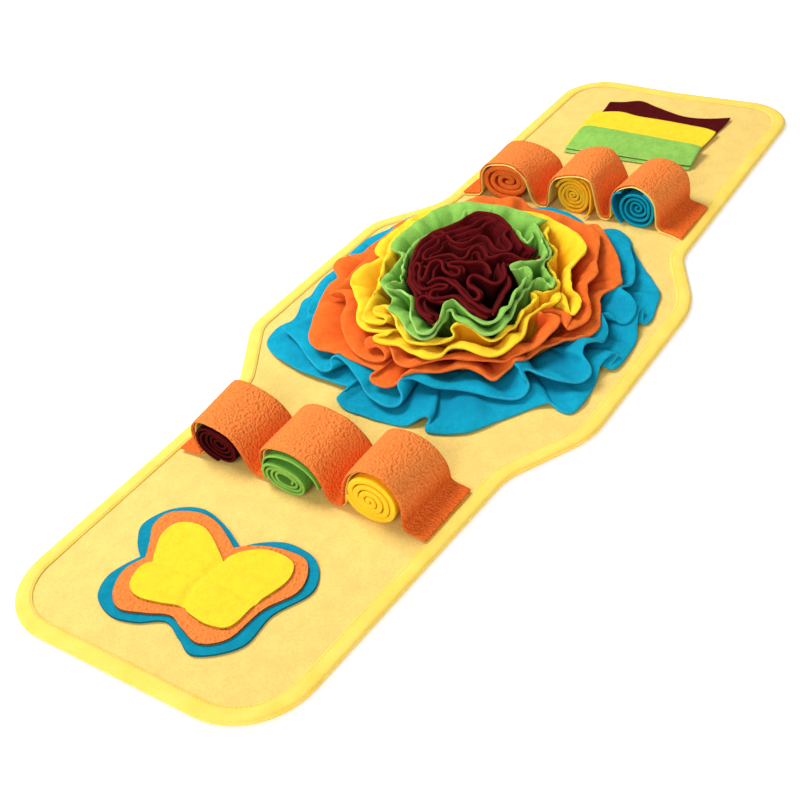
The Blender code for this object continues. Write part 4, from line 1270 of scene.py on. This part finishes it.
class SNUFFLE_OT_rosette(Operator):
    """Makes the closely folded rosette in the flower's middle"""
    bl_idname = "snuffle.rosette"
    bl_label = "Rosette"

    def execute(self, context):
        bm = bmesh.new()
        foot_height = sizes().mat_top + RUFFLE_FOOT
        middle = FLOWER * MM
        total = 0.0
        for strip in ROSETTE_STRIPS:
            points = [Vector(row) * MM + middle for row in strip]
            count = max(12, round(sum((q - p).length for p, q in zip(points, points[1:])) / ROSETTE_STEP))
            rim, length = curve(points, count)
            for inside, turned, lower in ROSETTE_LAYERS:
                total += length
                twist = Matrix.Rotation(math.radians(turned), 3, "Z")

                def place(column, row, rim=rim, inside=inside, twist=twist, lower=lower):
                    share = ROSETTE_ROWS[row]
                    out = twist @ (rim[column] - middle)
                    away = max(out.to_2d().length, 1e-4)
                    out *= max(0.2, 1.0 - inside * MM / away)
                    spread = ROSETTE_FOOT + (1.0 - ROSETTE_FOOT) * share ** ROSETTE_CROWN
                    point = middle + out * spread
                    point.z = foot_height + (rim[column].z - lower * MM - foot_height) * share
                    size, depth = ROSETTE_RIPPLE
                    return point + ripple(point, size, depth * share)

                # the rim attribute falls towards the foot, where the maroon is painted with shade, and stops
                # short on the lower layer, which gets less painted highlight
                patch(bm, count - 1, len(ROSETTE_ROWS) - 1, place,
                      lambda column, row, lower=lower: ROSETTE_ROWS[row] * (1 - lower * 0.01))
        made = sewn(bm, "maroon_rosette", fleece("maroon"), "maroon",
                    ["rosette_heart", "rosette_middle", "rosette_outer"], ROSETTE_THICK, levels=1)
        return {"FINISHED"}


# ---- stage ----

# The camera's place (m), its heading, its dip below level and its roll (rad), and its lens (mm)
CAMERA_PLACE = (-0.8338, -0.5579, 0.6771)
CAMERA_HEADING = 0.6721
CAMERA_DIP = 0.6549
CAMERA_ROLL = -0.1488
CAMERA_LENS = 56.73
FLOOR_TONE = (0.93, 0.93, 0.93, 1.0)
FLOOR_HEIGHT = -0.0002          # (m)
FLOOR_GLOW = 0.3
ROOM_LIGHT = 0.3
WHITE = (1.0, 1.0, 1.0, 1.0)
# name, place (m), size (m), power (W)
LAMPS = (
    ("key_softbox", (0.0, 1.1, 1.5), 0.9, 35.0),
    ("front_softbox", (-3.0, -0.8, 1.9), 2.0, 72.0),
    ("side_softbox", (0.9, -1.3, 1.2), 1.2, 2.0),
)


class SNUFFLE_OT_stage(Operator):
    """Makes the floor, the lamps and the camera"""
    bl_idname = "snuffle.stage"
    bl_label = "Stage"

    def execute(self, context):
        bm = bmesh.new()
        bmesh.ops.create_grid(bm, x_segments=2, y_segments=2, size=4.0,
                              matrix=Matrix.Translation((0.0, 0.0, FLOOR_HEIGHT)))
        mesh = bpy.data.meshes.new("pale_floor")
        bm.to_mesh(mesh)
        bm.free()
        floor = bpy.data.objects.new("pale_floor", mesh)
        bpy.context.collection.objects.link(floor)
        paint = Dye("floor_white")
        for name, value in (("Base Color", FLOOR_TONE), ("Roughness", 0.8),
                            ("Emission Color", WHITE), ("Emission Strength", FLOOR_GLOW)):
            paint.shader.inputs[name].default_value = value
        mesh.materials.append(paint.material)
        for name, place, size, power in LAMPS:
            light = bpy.data.lights.new(name, "AREA")
            light.shape = "DISK"
            light.size = size
            light.energy = power
            lamp = bpy.data.objects.new(name, light)
            lamp.location = place
            lamp.rotation_euler = (Vector((0, 0, 0)) - Vector(place)).to_track_quat("-Z", "Y").to_euler()
            bpy.context.collection.objects.link(lamp)
        world = bpy.data.worlds.new("soft_room")
        bpy.context.scene.world = world
        bpy.context.scene.view_settings.view_transform = "Standard"
        world.use_nodes = True
        air = world.node_tree.nodes["Background"].inputs
        air["Color"].default_value = WHITE
        air["Strength"].default_value = ROOM_LIGHT
        self.camera()
        return {"FINISHED"}

    def camera(self):
        dip, heading, roll = CAMERA_DIP, CAMERA_HEADING, CAMERA_ROLL
        ahead = Vector((math.cos(dip) * math.cos(heading), math.cos(dip) * math.sin(heading),
                        -math.sin(dip)))
        right = ahead.cross(Vector((0, 0, 1))).normalized()
        up = right.cross(ahead)
        across = right * math.cos(roll) + up * math.sin(roll)
        above = up * math.cos(roll) - right * math.sin(roll)
        view = bpy.data.cameras.new("camera")
        view.sensor_width = 36.0
        view.lens = CAMERA_LENS
        view.clip_start = 0.01
        camera = bpy.data.objects.new("camera", view)
        turned = Matrix((across, above, -ahead)).transposed().to_4x4()
        camera.matrix_world = Matrix.Translation(CAMERA_PLACE) @ turned
        bpy.context.collection.objects.link(camera)
        bpy.context.scene.camera = camera


class SNUFFLE_PT_pieces(Panel):
    """Lists the pieces of the snuffle mat"""
    bl_label = "Snuffle Mat"
    bl_idname = "SNUFFLE_PT_pieces"
    bl_space_type = "VIEW_3D"
    bl_region_type = "UI"
    bl_category = "Snuffle Mat"

    def draw(self, context):
        for name in MatSizes.__annotations__:
            self.layout.prop(context.scene.snuffle_sizes, name)
        for name in MatColours.__annotations__:
            self.layout.prop(context.scene.snuffle_colours, name)
        for piece in PIECES:
            self.layout.operator(piece.bl_idname)


PIECES = (SNUFFLE_OT_mat, SNUFFLE_OT_binding, SNUFFLE_OT_bands, SNUFFLE_OT_rolls,
          SNUFFLE_OT_butterfly, SNUFFLE_OT_flaps, SNUFFLE_OT_ruffles, SNUFFLE_OT_rosette,
          SNUFFLE_OT_stage)
CLASSES = (MatSizes, MatColours, *PIECES, SNUFFLE_PT_pieces)


def register():
    noise.seed_set(NOISE_SEED)
    for kind in CLASSES:
        bpy.utils.register_class(kind)
    bpy.types.Scene.snuffle_sizes = PointerProperty(type=MatSizes)
    bpy.types.Scene.snuffle_colours = PointerProperty(type=MatColours)


def unregister():
    del bpy.types.Scene.snuffle_colours
    del bpy.types.Scene.snuffle_sizes
    for kind in reversed(CLASSES):
        bpy.utils.unregister_class(kind)


def main():
    register()
    bpy.ops.snuffle.mat()
    bpy.ops.snuffle.binding()
    bpy.ops.snuffle.bands()
    bpy.ops.snuffle.rolls()
    bpy.ops.snuffle.butterfly()
    bpy.ops.snuffle.flaps()
    bpy.ops.snuffle.ruffles()
    bpy.ops.snuffle.rosette()
    bpy.ops.snuffle.stage()


if __name__ == "__main__":
    main()
